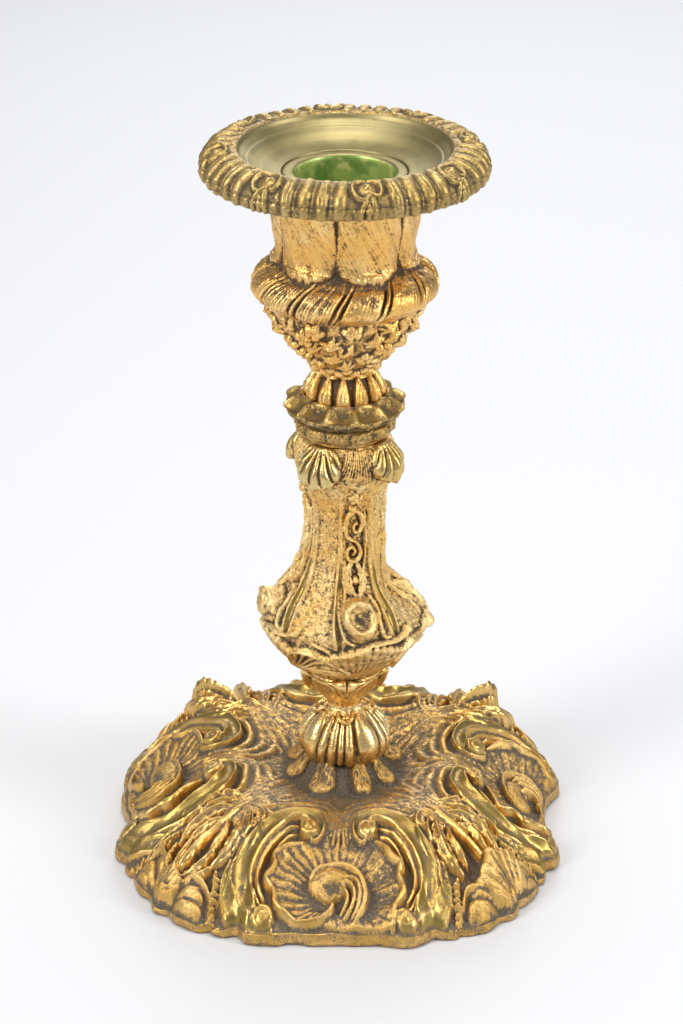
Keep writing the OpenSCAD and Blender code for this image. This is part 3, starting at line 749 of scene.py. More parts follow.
    cell_i, cell_j = TAU * 45 / nu, 50 / nr
    h = rel.h
    h += 0.075 * grain(h.shape, 1.1, 1.1, 5) * (0.25 + 0.75 * rel.rough) * (1 - 0.92 * rel.tone)
    h += 0.05 * grain(h.shape, 2.2, 2.2, 15) * (1 - 0.8 * rel.tone)
    h += 0.16 * grain(h.shape, 5, 5, 6) * (1 - rel.tone) * (0.35 + 0.65 * sm(26, 38, rho))
    h = blur(h, 0.6, 0.6)
    flow = sm(15.6, 17.4, rho) * sm(36, 29, rho) * (1 - np.clip(blur(rel.tone, 2, 2) * 3, 0, 1)) * 0.75
    h = h + (blur(h, 3.0, 1.1) - h) * flow
    gap = Rout[:, None] - rho
    soft = low[:, None]
    plain = sm(0.0, 1.1, gap) * (1 - soft) + sm(-0.7, 1.5, gap) * soft
    h = h * plain
    cav = cavity(h, cell_i, cell_j) + rel.patina_and_shade
    Z = Z0 + h
    # rows: under the foot, up the edge, then in over the top
    rows = []

    def ring(r, z):
        r = np.broadcast_to(np.asarray(r, float), (nu,))
        z = np.broadcast_to(np.asarray(z, float), (nu,))
        rows.append(np.stack([r * np.cos(th), r * np.sin(th), z], -1))

    for r, z in ((3.2, 17.5), (6, 17.5), (9.5, 17.4), (13, 14.2), (20, 14.9), (26, 15.2), (32.5, 14.6), (38, 12.4), (43.5, 8.8), (48.5, 4.6)):
        ring(r, z)
    ring(Rout - 5.6, 1.0)
    ring(Rout - 4.2, 0.15)
    ring(Rout - 3.9, 0.0)
    ring(Rout - 0.75, 0.0)
    ring(Rout - 0.3, 0.12)
    n_under = len(rows)
    zt = Z[:, -1]
    gw = grain((nu, 9), 3, 1.5, 77)
    for n, s in enumerate(np.linspace(0.08, 0.94, 9)):
        wav = 0.08 * np.sin(th * 57 + 3 * s) + 0.06 * np.sin(th * 101) + 0.07 * gw[:, n]
        ring(Rout + 0.36 * math.sin(math.pi * s ** 0.8) + wav * 0.8 - 0.1, zt * s)
    n_wall = len(rows)
    top = np.stack([X, Y, Z], -1)[:, ::-1]
    P = np.concatenate([np.stack(rows, 1), top, np.stack([np.stack([3.2 * np.cos(th), 3.2 * np.sin(th), np.full(nu, 22.3)], -1)], 1)], 1)
    nj = P.shape[1]
    C = np.full((nu, nj), 0.62)
    C[:, n_under:n_wall] = 0.47 - 0.05 * gw
    C[:, n_under:n_under + 2] += 0.12
    C[:, n_wall:n_wall + nr] = cav[:, ::-1]
    C[:, n_wall:n_wall + nr] += (0.04 * sm(28, 13, rho))[:, ::-1]
    Tn = np.zeros((nu, nj))
    Tn[:, n_wall:n_wall + nr] = rel.tone[:, ::-1]
    G = np.full((nu, nj), 0.5)
    G[:, n_wall:n_wall + nr] = rel.rough[:, ::-1]
    ob = build("foot_casting", P, {"cav": np.clip(C, 0, 1), "tone": Tn, "matt": G})
    ob.data.materials.append(m_gilt)
    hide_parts("base")
    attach(ob, "stick")
    return ob


make_base()


# ------------------------------------------------------------------ knop and calyx under the stem
def make_stem_foot():
    outer = resample([(8.0, 22.55), (9.9, 22.9), (10.7, 24.4), (10.9, 26.2), (10.4, 28.4), (9.1, 30.8), (7.3, 33.2), (5.6, 34.9), (4.6, 36.0), (4.6, 37.2), (5.9, 38.8),
                      (7.4, 40.6), (8.9, 42.8), (9.9, 44.8), (10.3, 46.0), (10.1, 46.6), (9.5, 46.95)], 190)
    rows = [(3.2, 22.55), (5.5, 22.55)] + [tuple(p) for p in outer] + [(7, 46.95), (3.2, 46.95), (3.2, 35)]
    nu = 420

    def shape(rel, th, seg, s):
        sz = lambda z: float(np.interp(z, seg[:, 1], s))
        r, z = seg[:, 0], seg[:, 1]
        psi = th + math.pi / 2
        # four-cornered calyx with drooping tips
        c4 = np.cos(4 * (psi - rad(2)))[:, None]
        w = sm(38.5, 45, z)[None, :]
        rel.h += w * (0.4 * c4 - 0.35)
        rel.h += 0.35 * sm(44.2, 45.4, z)[None, :] * sm(46.9, 46.2, z)[None, :]
        for q in range(4):
            phi = rad(-90 + 2 + 90 * q)
            V = rel.view(wrapa(th - phi)[:, None] * r[None, :], np.broadcast_to(s[None, :], rel.h.shape))
            V.ridge([(0, sz(46.4)), (0.1, sz(43.6)), (0, sz(40.9))], [3.4, 2.3, 0.5], [0.6, 1.6, 1.7], mode="add", p=0.8)
            V.ridge([(0.2, sz(46.6)), (0.1, sz(44.6))], [0.35, 0.2], [1.0, 0.5], mode="sub", p=1)
            V.ridge([(-9, sz(45.0)), (-5, sz(45.3)), (-1.8, sz(43.2)), (0, sz(40.5)), (1.8, sz(43.2)), (5, sz(45.3)), (9, sz(45.0))], 0.55, 0.45, mode="sub", p=0.8)
            # gadroons of mixed width
            V.ridge([(6.3, sz(23.6)), (6.4, sz(26.5)), (5.2, sz(30.5)), (3.4, sz(34.0))], [2.4, 3.1, 2.5, 1.2], [0.9, 1.5, 1.3, 0.6], p=0.5)
            for u0, wd, hh in ((-6.6, 1.25, 1.2), (-3.9, 1.2, 1.2), (-1.6, 0.9, 1.0), (0.7, 1.25, 1.25)):
                k = (u0 - 0.5) / 8
                V.ridge([(u0, sz(23.6)), (u0 + 0.15, sz(26.5)), (u0 * 0.82 + 0.2, sz(30.5)), (u0 * 0.55 + 0.3, sz(34.2))], [wd * 0.8, wd, wd * 0.85, wd * 0.5], [hh * 0.7, hh, hh * 0.9, 0.5], p=0.5)
            V.ridge([(2.7, sz(23.4)), (2.8, sz(26.5)), (2.3, sz(30.5)), (1.7, sz(34.2))], [0.5, 0.6, 0.5, 0.3], [0.3, 0.4, 0.4, 0.2], mode="sub", p=0.8)
            # small bow at the neck
            V.ridge([(-2.0, sz(35.2)), (-1.5, sz(34.0)), (0, sz(33.3)), (1.5, sz(34.0)), (2.0, sz(35.2))], [0.45, 0.6, 0.6, 0.6, 0.45], [0.9, 1.3, 1.4, 1.3, 0.9])
            V.dome((0, sz(34.3)), 0.9, 0.6, 0, 0.7)
        rel.h += 0.10 * grain(rel.h.shape, 8, 8, 31)
        rel.h[:] = blur(rel.h, 0.7, 0.7)

    ob = lathe("knop_and_calyx", rows, (2, 2 + len(outer)), nu, shape, matt_amp=0.02, seed=3)
    ob.data.materials.append(m_bright)
    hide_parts("stem_foot")
    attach(ob, "stick")


# ------------------------------------------------------------------ the stem
def make_stem():
    outer = resample([(9.3, 47.1), (10.3, 47.8), (12.1, 49.9), (14.5, 52.7), (16.7, 55.9), (18.5, 59.4), (19.4, 62.0), (18.8, 64.8), (17.3, 67.6), (15.2, 70.5), (13.1, 73.4), (11.6, 76.5),
                      (10.5, 80), (9.7, 84), (9.35, 88), (9.5, 92), (10.2, 96), (11.2, 100), (12.0, 103.6), (11.9, 107), (11.1, 109.6), (10.2, 110.9)], 330)
    rows = [(3.3, 47.05), (8, 47.05)] + [tuple(p) for p in outer] + [(8, 110.95), (3.3, 110.95), (3.3, 80)]
    nu = 600

    def shape(rel, th, seg, s):
        zz = seg[:, 1]
        sz = lambda z: float(np.interp(z, zz, s))
        r = seg[:, 0]
        S = np.broadcast_to(s[None, :], rel.h.shape)
        ZZ = np.broadcast_to(zz[None, :], rel.h.shape)
        rel.rough[:] = 1.0

        def at(psi):
            return rel.view(wrapa(th - rad(-90 + psi))[:, None] * r[None, :], S)

        # each face is a little dished between its ridges
        lobe = np.abs(np.sin(4 * (th - rad(-90 - 4.5))))[:, None]
        rel.h += (-0.75 * lobe ** 0.7) * sm(56, 68, ZZ) * sm(101, 92, ZZ)
        for k in range(8):
            V = at(-4.5 + 45 * k)
            V.ridge([(0, sz(100)), (0, sz(90)), (0, sz(80)), (0, sz(70)), (0, sz(60.5))], [0.5, 0.85, 1.0, 1.5, 1.9, 1.3], [0.2, 0.45, 0.5, 0.55, 0.6, 0.2], p=0.9)
            V.ridge([(0.45, sz(98)), (0.45, sz(88)), (0.5, sz(79))], [0.12, 0.22, 0.2], 0.22, mode="sub", p=1)
            V.ridge([(0.0, sz(94)), (0.0, sz(86)), (0.0, sz(79))], [0.15, 0.3, 0.3], 0.28, mode="add", p=0.8)
            V.ridge([(0, sz(80)), (-0.1, sz(74)), (0.1, sz(67)), (0.3, sz(60.8))], [0.3, 0.65, 0.95, 1.0, 0.4], [0.5, 0.8, 1.0, 1.1, 0.6], mode="sub", p=0.7, tone=1.0)
            V.ridge([(-1.15, sz(79)), (-1.25, sz(71)), (-1.35, sz(62.5))], [0.2, 0.3, 0.25], [0.2, 0.4, 0.2], mode="add", p=0.8)
            V.ridge([(1.2, sz(79)), (1.35, sz(71)), (1.55, sz(62.5))], [0.2, 0.3, 0.25], [0.2, 0.4, 0.2], mode="add", p=0.8)
        for q in range(4):
            jit = np.random.default_rng(70 + q)
            F = at(19 + 90 * q)           # decorated face
            D = at(12.5 + 90 * q)         # its sprig, which grows off centre
            B = at(-27 + 90 * q)          # plain face with the scallops
            # ---- combed fan between the scallops
            for k in range(-7, 8):
                e = 0.1 * jit.normal()
                F.ridge([(0.42 * k + e, sz(110.4)), (0.62 * k, sz(106.5)), (0.95 * k + e, sz(102.2) + 0.035 * k * k)], [0.2, 0.27, 0.15], [0.4, 0.5 + 0.15 * jit.uniform(), 0.2], p=0.8)
            F.ridge([(-5.6, sz(103.4)), (-3.0, sz(101.6)), (0, sz(101.0)), (3.0, sz(101.6)), (5.6, sz(103.4))], 0.4, 0.32, p=0.8)
            F.patina_and_shade_spot((0, sz(106)), 4.5, 3.0, 0.14)
            # ---- scallop hanging over the plain face
            vt = sz(110.7)
            near = np.nonzero((np.abs(B.u) < 7.5) & (B.v > sz(96.2)))[0]
            x, y = B.u[near] + 0.7, vt - B.v[near]
            wid = 0.95 * np.interp(y / 0.71, [-0.5, 0, 2, 4.5, 7, 9.0, 10.8, 12.0, 12.7, 13.1], [2.6, 3.2, 4.6, 5.7, 6.0, 5.8, 5.0, 3.7, 2.3, 0.2])
            qx = np.abs(x) / np.maximum(wid, 1e-3)
            ang = np.arctan2(x, y + 2.0)
            ph = ang / rad(15.5)                      # wide flutes side by side
            flute = np.abs(np.cos(math.pi * ph))
            swell = 1.0 + 2.3 * sm(0, 6.5, y) + 0.2 * sm(6, 9, y)
            edge_ = np.clip(1 - qx ** 5, 0, 1) ** 0.5
            hh = swell * edge_ - 1.25 * (1 - flute) ** 1.5 * sm(0.5, 3, y) * edge_
            ins = (qx < 1) & (y > -0.4) & (y < 10.0)
            B.put(near[ins], hh[ins], "max")
            tn = (flute > 0.35) & (y > 2) & ins
            B.T[near[tn]] = 0.5
            B.G[near[ins]] = 0.1
            B.D[near[ins & (flute < 0.3)]] += 0.28
            B.ridge([(0, sz(106.4)), (0, sz(101.6))], [0.15, 0.3], 0.3, mode="sub", p=1)
            B.dome((0, sz(104.6)), 1.3, 3.0, 0, 0.5, mode="add", p=0.7)
            # ---- sprig in low relief: blossom, ring, curl, leaf
            D.ridge([(-1.2, sz(101)), (-1.6, sz(96)), (-2.4, sz(91.5)), (-1.6, sz(87.5))], [0.4, 0.55, 0.5, 0.3], [0.2, 0.25, 0.25, 0.1], mode="sub", p=0.8)
            for k in range(5):
                a = 72 * k + 20
                D.dome((0.4 + 1.0 * math.cos(rad(a)), sz(97.6) + 1.0 * math.sin(rad(a))), 0.95, 0.75, a, 0.8, p=0.6, ribs=7, amp=0.2)
            D.dome((0.4, sz(97.6)), 0.5, 0.5, 0, 1.25)
            D.dome((1.2, sz(100.6)), 1.2, 0.7, 60, 0.8, ribs=9, amp=0.2)
            D.dome((-0.2, sz(94.8)), 1.0, 0.7, 10, 0.9, ribs=9, amp=0.2)
            D.ridge([(0.6, sz(94.0)), (-1.2, sz(92.8)), (-1.9, sz(90.0)), (-1.5, sz(87.2)), (0.2, sz(85.8)), (0.2, sz(85.9))], [0.4, 0.75, 0.9, 0.8, 0.6, 0.4], [0.4, 0.8, 0.85, 0.8, 0.7, 0.4], p=0.9)
            D.ridge([(0.6, sz(94.0)), (2.1, sz(92.6)), (2.5, sz(90.2)), (1.6, sz(88.2)), (0.4, sz(88.3)), (0.2, sz(89.8)), (1.0, sz(90.6))], [0.4, 0.65, 0.75, 0.65, 0.55, 0.45, 0.35], [0.4, 0.8, 0.85, 0.75, 0.7, 0.6, 0.4], p=0.9)
            D.ridge([(0.3, sz(85.8)), (1.3, sz(84.8)), (1.8, sz(82.6)), (0.6, sz(80.8)), (-1.2, sz(81.2)), (-1.6, sz(83.2)), (-0.4, sz(84.4)), (0.5, sz(83.2)), (-0.1, sz(82.3))],
                    [0.4, 0.55, 0.65, 0.65, 0.6, 0.55, 0.5, 0.45, 0.35], [0.4, 0.75, 0.85, 0.85, 0.8, 0.75, 0.7, 0.65, 0.5], p=0.9)
            D.ridge([(3.1, sz(93)), (3.3, sz(88)), (3.1, sz(83)), (2.4, sz(78.5))], [0.25, 0.4, 0.4, 0.25], [0.3, 0.6, 0.6, 0.3], p=0.8)
            D.leaf([(-0.6, sz(80.4)), (-1.9, sz(78.0)), (-1.8, sz(74.8)), (-0.3, sz(72.4))], [0.6, 1.3, 1.4, 0.7], [0.5, 0.9, 1.0, 0.7], lobes=4, vein=0.2, cut=0.3)
            D.leaf([(0.8, sz(80.0)), (1.9, sz(77.4)), (1.7, sz(74.2)), (0.6, sz(72.4))], [0.5, 1.1, 1.2, 0.5], [0.4, 0.85, 0.85, 0.5], lobes=4, vein=0.2, cut=0.3)
            D.dome((0.1, sz(76.2)), 0.8, 1.2, 0, 1.0, ribs=7, amp=0.2, root=(0.1, sz(76.2)))
            D.patina_and_shade_spot((0.3, sz(88)), 3.0, 12, 0.05)
            # ---- oval hollow boss
            c0 = (0.0, sz({0: 68.2, 1: 65.4, 2: 68.2, 3: 66.0}[q]))
            near = np.nonzero((np.abs(D.u - c0[0]) < 9) & (np.abs(D.v - c0[1]) < 9.5))[0]
            x, y = D.u[near] - c0[0], D.v[near] - c0[1]
            x = x * math.cos(0.12) + y * math.sin(0.12)
            rr_ = np.hypot(x / (4.0 if q != 3 else 3.4), y / (4.7 if q != 3 else 3.5))
            ba = np.arctan2(y, x)
            thick = 0.5 + 0.5 * np.cos(ba - rad(150))          # heavier on its left, open at the lower right
            body = {0: 2.0, 1: 1.2, 2: 2.0, 3: 5.4}[q] * np.exp(-(np.clip(rr_ - 0.15, 0, None) / (0.95 if q != 3 else 0.85)) ** (4 if q != 3 else 2.2))
            ring_ = (0.3 + 0.75 * thick) * np.exp(-((rr_ - 0.80 - 0.06 * np.sin(ba * 2 + 0.5)) / (0.10 + 0.12 * thick)) ** 2)
            ring_ += 0.35 * thick * np.exp(-((rr_ - 0.42 + 0.1 * np.sin(ba)) / 0.10) ** 2)
            bowl = -1.8 * np.clip(1 - (np.hypot(x - 0.5, y + 0.5) / 3.3) ** 2, 0, 1)
            wave = 0.12 * np.cos(ba * 7 + 1) * np.exp(-((rr_ - 0.9) / 0.3) ** 2) + 0.10 * np.sin(x * 3 + y * 2) * (rr_ < 0.8)
            D.put(near, np.where(rr_ < 1.4, body + ring_ + bowl + wave - 0.2 * (rr_ > 1.15), -9), "max")
            D.D[near] += 0.24 * np.exp(-(np.hypot(x - 0.9, y + 0.9) / 2.2) ** 2) + 0.02 * (rr_ < 1.1)
            D.G[near[rr_ < 1.0]] = 0.5
            D.ridge([(c0[0] - 4.7, sz(71.6)), (c0[0] - 5.0, sz(68)), (c0[0] - 4.2, sz(63.8)), (c0[0] - 1.6, sz(61.8))], [0.3, 0.5, 0.5, 0.3], [0.4, 0.7, 0.7, 0.4])
            D.ridge([(c0[0] + 3.4, sz(72.6)), (c0[0] + 5.0, sz(69.6)), (c0[0] + 5.3, sz(66)), (c0[0] + 6.2, sz(63.2)), (c0[0] + 8.0, sz(62.8))], [0.4, 0.6, 0.6, 0.6, 0.4], [0.5, 0.8, 0.8, 0.8, 0.8])
            # ---- ribbed fan under it
            F.fan((-0.9, sz(45.6)), 90, 74, 1.5, 18.2, 11, 0.8, 2.4, rib=0.48, p=1.4, scal=0.03, lip=-0.2)
            F.ridge([(-5.0, sz(60.6)), (-2.4, sz(61.6)), (1.2, sz(62.1)), (4.6, sz(61.9)), (8.0, sz(62.0)), (10.8, sz(63.2))], [0.3, 0.4, 0.45, 0.5, 0.6, 0.9],
                    [0.7, 1.6, 1.9, 1.9, 1.8 if q in (0, 2) else 1.0, 2.4 if q in (0, 2) else 0.3], p=0.8)
            # ---- oval dish, ribbed inside, with a thin rim; its outer corner flares out
            c1 = (1.0, sz(55.0))
            near = np.nonzero((np.abs(B.u - c1[0]) < 10) & (np.abs(B.v - c1[1]) < 9))[0]
            x, y = B.u[near] - c1[0], B.v[near] - c1[1]
            ca, sa = math.cos(rad(-24)), math.sin(rad(-24))
            X, Y = x * ca + y * sa, -x * sa + y * ca
            rr_ = np.hypot(X / 7.2, Y / 5.0)
            a2 = np.arctan2(Y + 6.5, X + 5.0)
            dish = np.where(rr_ < 1, 1.0 - 0.06 * y + 1.5 * rr_ ** 2.5 + 0.6 * np.cos(a2 * 30) * sm(1.0, 0.85, rr_) * sm(0.05, 0.35, rr_), 0)
            rim_ = (2.8 - 0.06 * y) * np.exp(-((rr_ - 1.02) / 0.085) ** 2)
            B.put(near[rr_ < 1.25], np.maximum(dish, rim_)[rr_ < 1.25], "max")
            B.D[near[rr_ < 0.85]] += 0.08
            B.G[near[rr_ < 1.1]] = 0.2
            B.ridge([(0.8, sz(61.6)), (5.0, sz(60.0)), (8.4, sz(56.0)), (10.0, sz(51.6)), (10.4, sz(48.4))], [0.25, 0.45, 0.6, 0.6, 0.4], [0.4, 0.9, 1.4, 1.4, 0.8], p=0.9)
            if q == 1:
                B.dome((8.4, sz(60.4)), 3.2, 1.7, 22, 4.0, p=0.8, ribs=9, amp=0.15)
                B.dome((7.0, sz(61.6)), 2.6, 0.9, 22, 0.8, mode="sub", p=0.7)
        # the foot of the casting draws in to the joint
        rel.h *= 0.12 * sm(47.2, 49.5, ZZ) + 0.88 * sm(49.0, 55.5, ZZ)
        ta = np.arange(rel.h.shape[0])[:, None] / rel.h.shape[0] * TAU
        rel.h -= 3.5 * np.exp(-((ZZ - 72.8) / 6.5) ** 2) * np.clip(np.cos(ta), 0, 1) ** 3
        rel.patina_and_shade += 0.22 * sm(49.6, 47.4, ZZ)
        # hatching of the plain faces
        for q in range(4):
            B = at(-27 + 90 * q)
            m = np.nonzero((np.abs(B.u) < 7) & (B.v > sz(65)) & (B.v < sz(98)))[0]
            B.H[m] += 0.045 * np.sin(B.v[m] * 8 + 1.5 * np.sin(B.u[m] * 2.0 + B.v[m])) * (np.abs(B.u[m]) < 4.6)
        rel.h += 0.05 * grain(rel.h.shape, 3.0, 2.2, 91) * (1 - rel.tone)
        rel.h[:] = blur(rel.h, 0.6, 0.6)

    ob = lathe("stem_casting", rows, (2, 2 + len(outer)), nu, shape, matt_amp=0.085, seed=4, cavk=(0.66, 0.27), grains=(1.9, 1.2))
    ob.data.materials.append(m_stem)
    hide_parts("stem")
    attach(ob, "stick")


# ------------------------------------------------------------------ scalloped collar
def make_collar():
    outer = resample([(9.4, 111.05), (10.2, 111.1), (10.4, 112.0), (11.4, 112.7), (11.95, 113.8), (11.8, 115.2), (11.3, 116.0), (11.9, 116.5), (13.2, 117.1), (14.5, 118.1), (15.0, 119.0), (14.7, 119.9),
                      (13.4, 120.8), (11.9, 121.7), (10.9, 122.3), (10.3, 122.35), (9.9, 121.7), (9.75, 120.4), (9.75, 119.2)], 180)
    rows = [(3.3, 111.05), (7, 111.05)] + [tuple(p) for p in outer] + [(7, 119.02), (3.3, 119.02), (3.3, 115)]
    nu = 480

    def shape(rel, th, seg, s):
        z, r = seg[:, 1], seg[:, 0]
        half = len(z) // 2
        psi = th + math.pi / 2
        arch = np.abs(np.cos(6 * (psi + rad(3.6))))[:, None]      # 1 in the middle of a scoop, 0 at a cusp
        c = arch ** 0.75
        s_rim = float(s[np.argmax(r)])
        # scoops hollowed into the shoulder, deepest half way up
        prof = np.exp(-((s - (s_rim + 2.0)) / 2.6) ** 4)[None, :]
        rel.h += prof * (0.75 - 2.3 * c)
        rel.h += np.exp(-((s - (s_rim + 5.4)) / 1.0) ** 2)[None, :] * (0.15 - 0.75 * (1 - c))
        out_ = np.exp(-((s - (s_rim - 1.2)) / 1.1) ** 2)[None, :]
        rel.h += out_ * (0.30 * arch - 0.55 * (1 - arch) ** 2)
        rel.tone += (prof > 0.5) * (c > 0.45) * 1.0
        # painted shade: a dark band on the underside just below the rim, where the overhang is in shadow
        rel.patina_and_shade += 0.38 * np.exp(-((s - (s_rim - 1.6)) / 0.8) ** 2)[None, :]
        rel.patina_and_shade += 0.16 * np.exp(-((s - (s_rim + 4.2)) / 1.2) ** 2)[None, :] * (1 - c)
        # lobed lower skirt, punched
        s_sk = float(np.interp(113.9, z[:half], s[:half]))
        sk = np.exp(-((s - s_sk) / 1.6) ** 4)[None, :]
        lob = np.abs(np.cos(6 * (psi + rad(9))))[:, None]
        rel.h += sk * (1.0 * lob ** 0.6 - 0.50)
        rel.rough[:] = np.broadcast_to(sk, rel.h.shape)
        s_gr = float(np.interp(116.0, z[:half], s[:half]))
        rel.h -= 0.25 * np.exp(-((s - s_gr) / 0.5) ** 2)[None, :]
        rel.h += 0.07 * grain(rel.h.shape, 9, 9, 12)
        rel.h[:] = blur(rel.h, 0.9, 0.9)

    ob = lathe("collar_casting", rows, (2, 2 + len(outer)), nu, shape, matt_amp=0.09, seed=6)
    ob.data.materials.append(m_pale2)
    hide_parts("scalloped_collar")
    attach(ob, "stick")


# ------------------------------------------------------------------ candle cup
def make_cup():
    outer = resample([(7.6, 119.1), (8.8, 119.4), (9.0, 120.6), (8.9, 123.0), (8.0, 125.4), (6.9, 127.4), (6.7, 128.6), (7.6, 129.9), (9.5, 131.8), (11.8, 134.4), (14.2, 137.6),
                      (16.6, 141.2), (17.7, 144.4), (18.5, 146.3), (19.8, 147.3), (21.3, 148.7), (21.9, 150.3), (21.0, 152.4), (19.0, 154.3), (16.8, 155.6), (15.5, 156.6),
                      (15.0, 158.4), (15.1, 162), (15.7, 166), (16.2, 170.5), (16.7, 174), (16.8, 175.95)], 380)
    rows = [(3.3, 119.05), (5.5, 119.05)] + [tuple(p) for p in outer] + [(15.6, 175.98), (13.4, 175.98), (13.38, 165), (13.38, 150), (13.3, 147.5), (10.4, 140.8), (7.4, 134.2), (7.0, 131.0), (3.3, 131.0), (3.3, 125)]
    nu = 640

    def shape(rel, th, seg, s):
        z, r = seg[:, 1], seg[:, 0]
        zm = np.maximum.accumulate(z)
        sz = lambda q: float(np.interp(q, zm, s))
        S = np.broadcast_to(s[None, :], rel.h.shape)
        Z = np.broadcast_to(z[None, :], rel.h.shape)

        def at(p):
            return rel.view(wrapa(th - rad(-90 + p))[:, None] * r[None, :], S)

        # pointed tongues round the foot, dark between
        rel.h -= 0.7 * sm(129.2, 127.6, Z)
        rel.patina_and_shade += 0.30 * sm(128.8, 127.4, Z)
        for n in range(12):
            V = at(30 * n - 3)
            V.ridge([(0, sz(119.4)), (0, sz(121.6)), (0, sz(124.6)), (0, sz(127.2)), (0, sz(128.9))], [1.75, 1.9, 1.6, 0.95, 0.25], [0.8, 1.35, 1.3, 0.9, 0.3], p=0.7)
            V.ridge([(-0.35, sz(120.0)), (-0.2, sz(123.4)), (0, sz(126.4))], [0.5, 0.5, 0.2], 0.3, mode="sub", p=1)
            V.patina_and_shade_spot((0, sz(119.8)), 1.9, 0.9, 0.16)
        rel.rough[:] = 0.45
        jit = np.random.default_rng(21)
        # overlapping leaves and blossoms in soft relief over the bowl
        for row_, (zc, n, size) in enumerate(((144.2, 13, 3.3), (141.2, 13, 3.2), (138.4, 12, 3.1), (135.6, 11, 2.9), (133.0, 9, 2.6))):
            for i in range(n):
                p0 = 360 / n * (i + 0.5 * (row_ % 2)) + 5 * jit.normal() + 4
                V = at(p0)
                v0 = sz(zc) + 0.4 * jit.normal()
                kind = (i + row_) % 3 if jit.uniform() < 0.8 else 1
                a0 = jit.uniform(0, 360)
                if kind == 0:
                    for k in range(5):
                        a = a0 + 72 * k
                        V.dome((size * 0.42 * math.cos(rad(a)), v0 + size * 0.42 * math.sin(rad(a))), size * 0.42, size * 0.36, a, 1.9 + 0.15 * jit.normal(), p=0.6, ribs=9, amp=0.14, root=(0, v0))
                    V.dome((0, v0), size * 0.24, size * 0.24, 0, 1.7, p=0.5)
                    V.dome((0, v0), size * 0.10, size * 0.10, 0, 0.5, mode="sub", p=0.6)
                elif kind == 1:
                    for b_ in (-38, 0, 38):
                        ca, sa = math.cos(rad(a0 + b_)), math.sin(rad(a0 + b_))
                        V.leaf([(-size * 0.75 * ca, v0 - size * 0.75 * sa), (0, v0), (size * 0.75 * ca, v0 + size * 0.75 * sa)], [0.35, 1.4, 0.3], [0.8, 1.9, 0.7], lobes=5, cut=0.2, vein=0.3)
                else:
                    ca, sa = math.cos(rad(a0)), math.sin(rad(a0))
                    V.ridge([(-size * 0.8 * ca, v0 - size * 0.8 * sa), (-0.9 * sa, v0 + 0.9 * ca), (size * 0.6 * ca, v0 + size * 0.6 * sa), (size * 0.3 * ca + 1.1 * sa, v0 + size * 0.3 * sa - 1.1 * ca)], [0.5, 0.9, 0.8, 0.5], [0.8, 1.3, 1.3, 0.8], p=0.6)
                    for k in range(4):
                        V.dome((0.5 * size * math.cos(rad(a0 + 90 * k)), v0 + 0.5 * size * math.sin(rad(a0 + 90 * k))), 0.8, 0.65, a0, 1.15, p=0.5)
        bowl = sm(130, 132, Z) * sm(146.2, 145.0, Z)
        rel.h += bowl * (0.07 * grain(rel.h.shape, 5, 4, 51) + 0.05 * grain(rel.h.shape, 2.4, 2.4, 52))
        rel.patina_and_shade += 0.05 * bowl
        # thick lobed hem of the bowl
        for n in range(13):
            V = at(360 / 13 * n + 4)
            V.ridge([(-1.7, sz(130.4)), (-1.0, sz(129.2)), (0, sz(128.7)), (1.0, sz(129.2)), (1.7, sz(130.4))], 0.75, 1.5, p=0.5)
            V.dome((0, sz(130.6)), 1.5, 1.2, 0, 1.2, p=0.6, ribs=9, amp=0.15)
        # slanted gadroons of the brim: broad soft lobes, paired grooves between
        path = lambda e: [(3.8 + 0.4 * e, sz(156.0)), (2.2 + 0.8 * e, sz(153.6)), (0.2 + e, sz(150.4)), (-1.2 + 0.9 * e, sz(147.6)), (-1.6 + 0.7 * e, sz(146.2))]
        for n in range(12):
            V = at(30 * n + 10)
            V.ridge(path(0), [2.4, 4.2, 5.0, 4.2, 2.6], [0.25, 0.7, 1.0, 0.75, 0.4], p=0.45)
            left = 30 * n + 10 > 180
            for k in range(-4, 5):
                V.ridge(path(0.95 * k + 0.15 * jit.normal()), [0.15, 0.3, 0.35, 0.3, 0.15], 0.30 if left else 0.10, mode="sub", p=1)
        for n in range(12):
            V = at(30 * n - 5)
            for e in (-0.85, 0.85):
                V.ridge(path(e), [0.25, 0.5, 0.55, 0.45, 0.25], [0.4, 0.95, 1.05, 0.85, 0.4], mode="sub", p=0.8)
            V.ridge(path(0), [0.25, 0.4, 0.45, 0.4, 0.2], [0.3, 0.75, 0.85, 0.7, 0.3], p=0.7)
        brim = sm(145.6, 147, Z) * sm(156.6, 155.6, Z)
        rel.patina_and_shade += 0.13 * brim * sm(149.5, 152.5, Z)
        rel.h += 0.10 * brim * grain(rel.h.shape, 6, 6, 53)
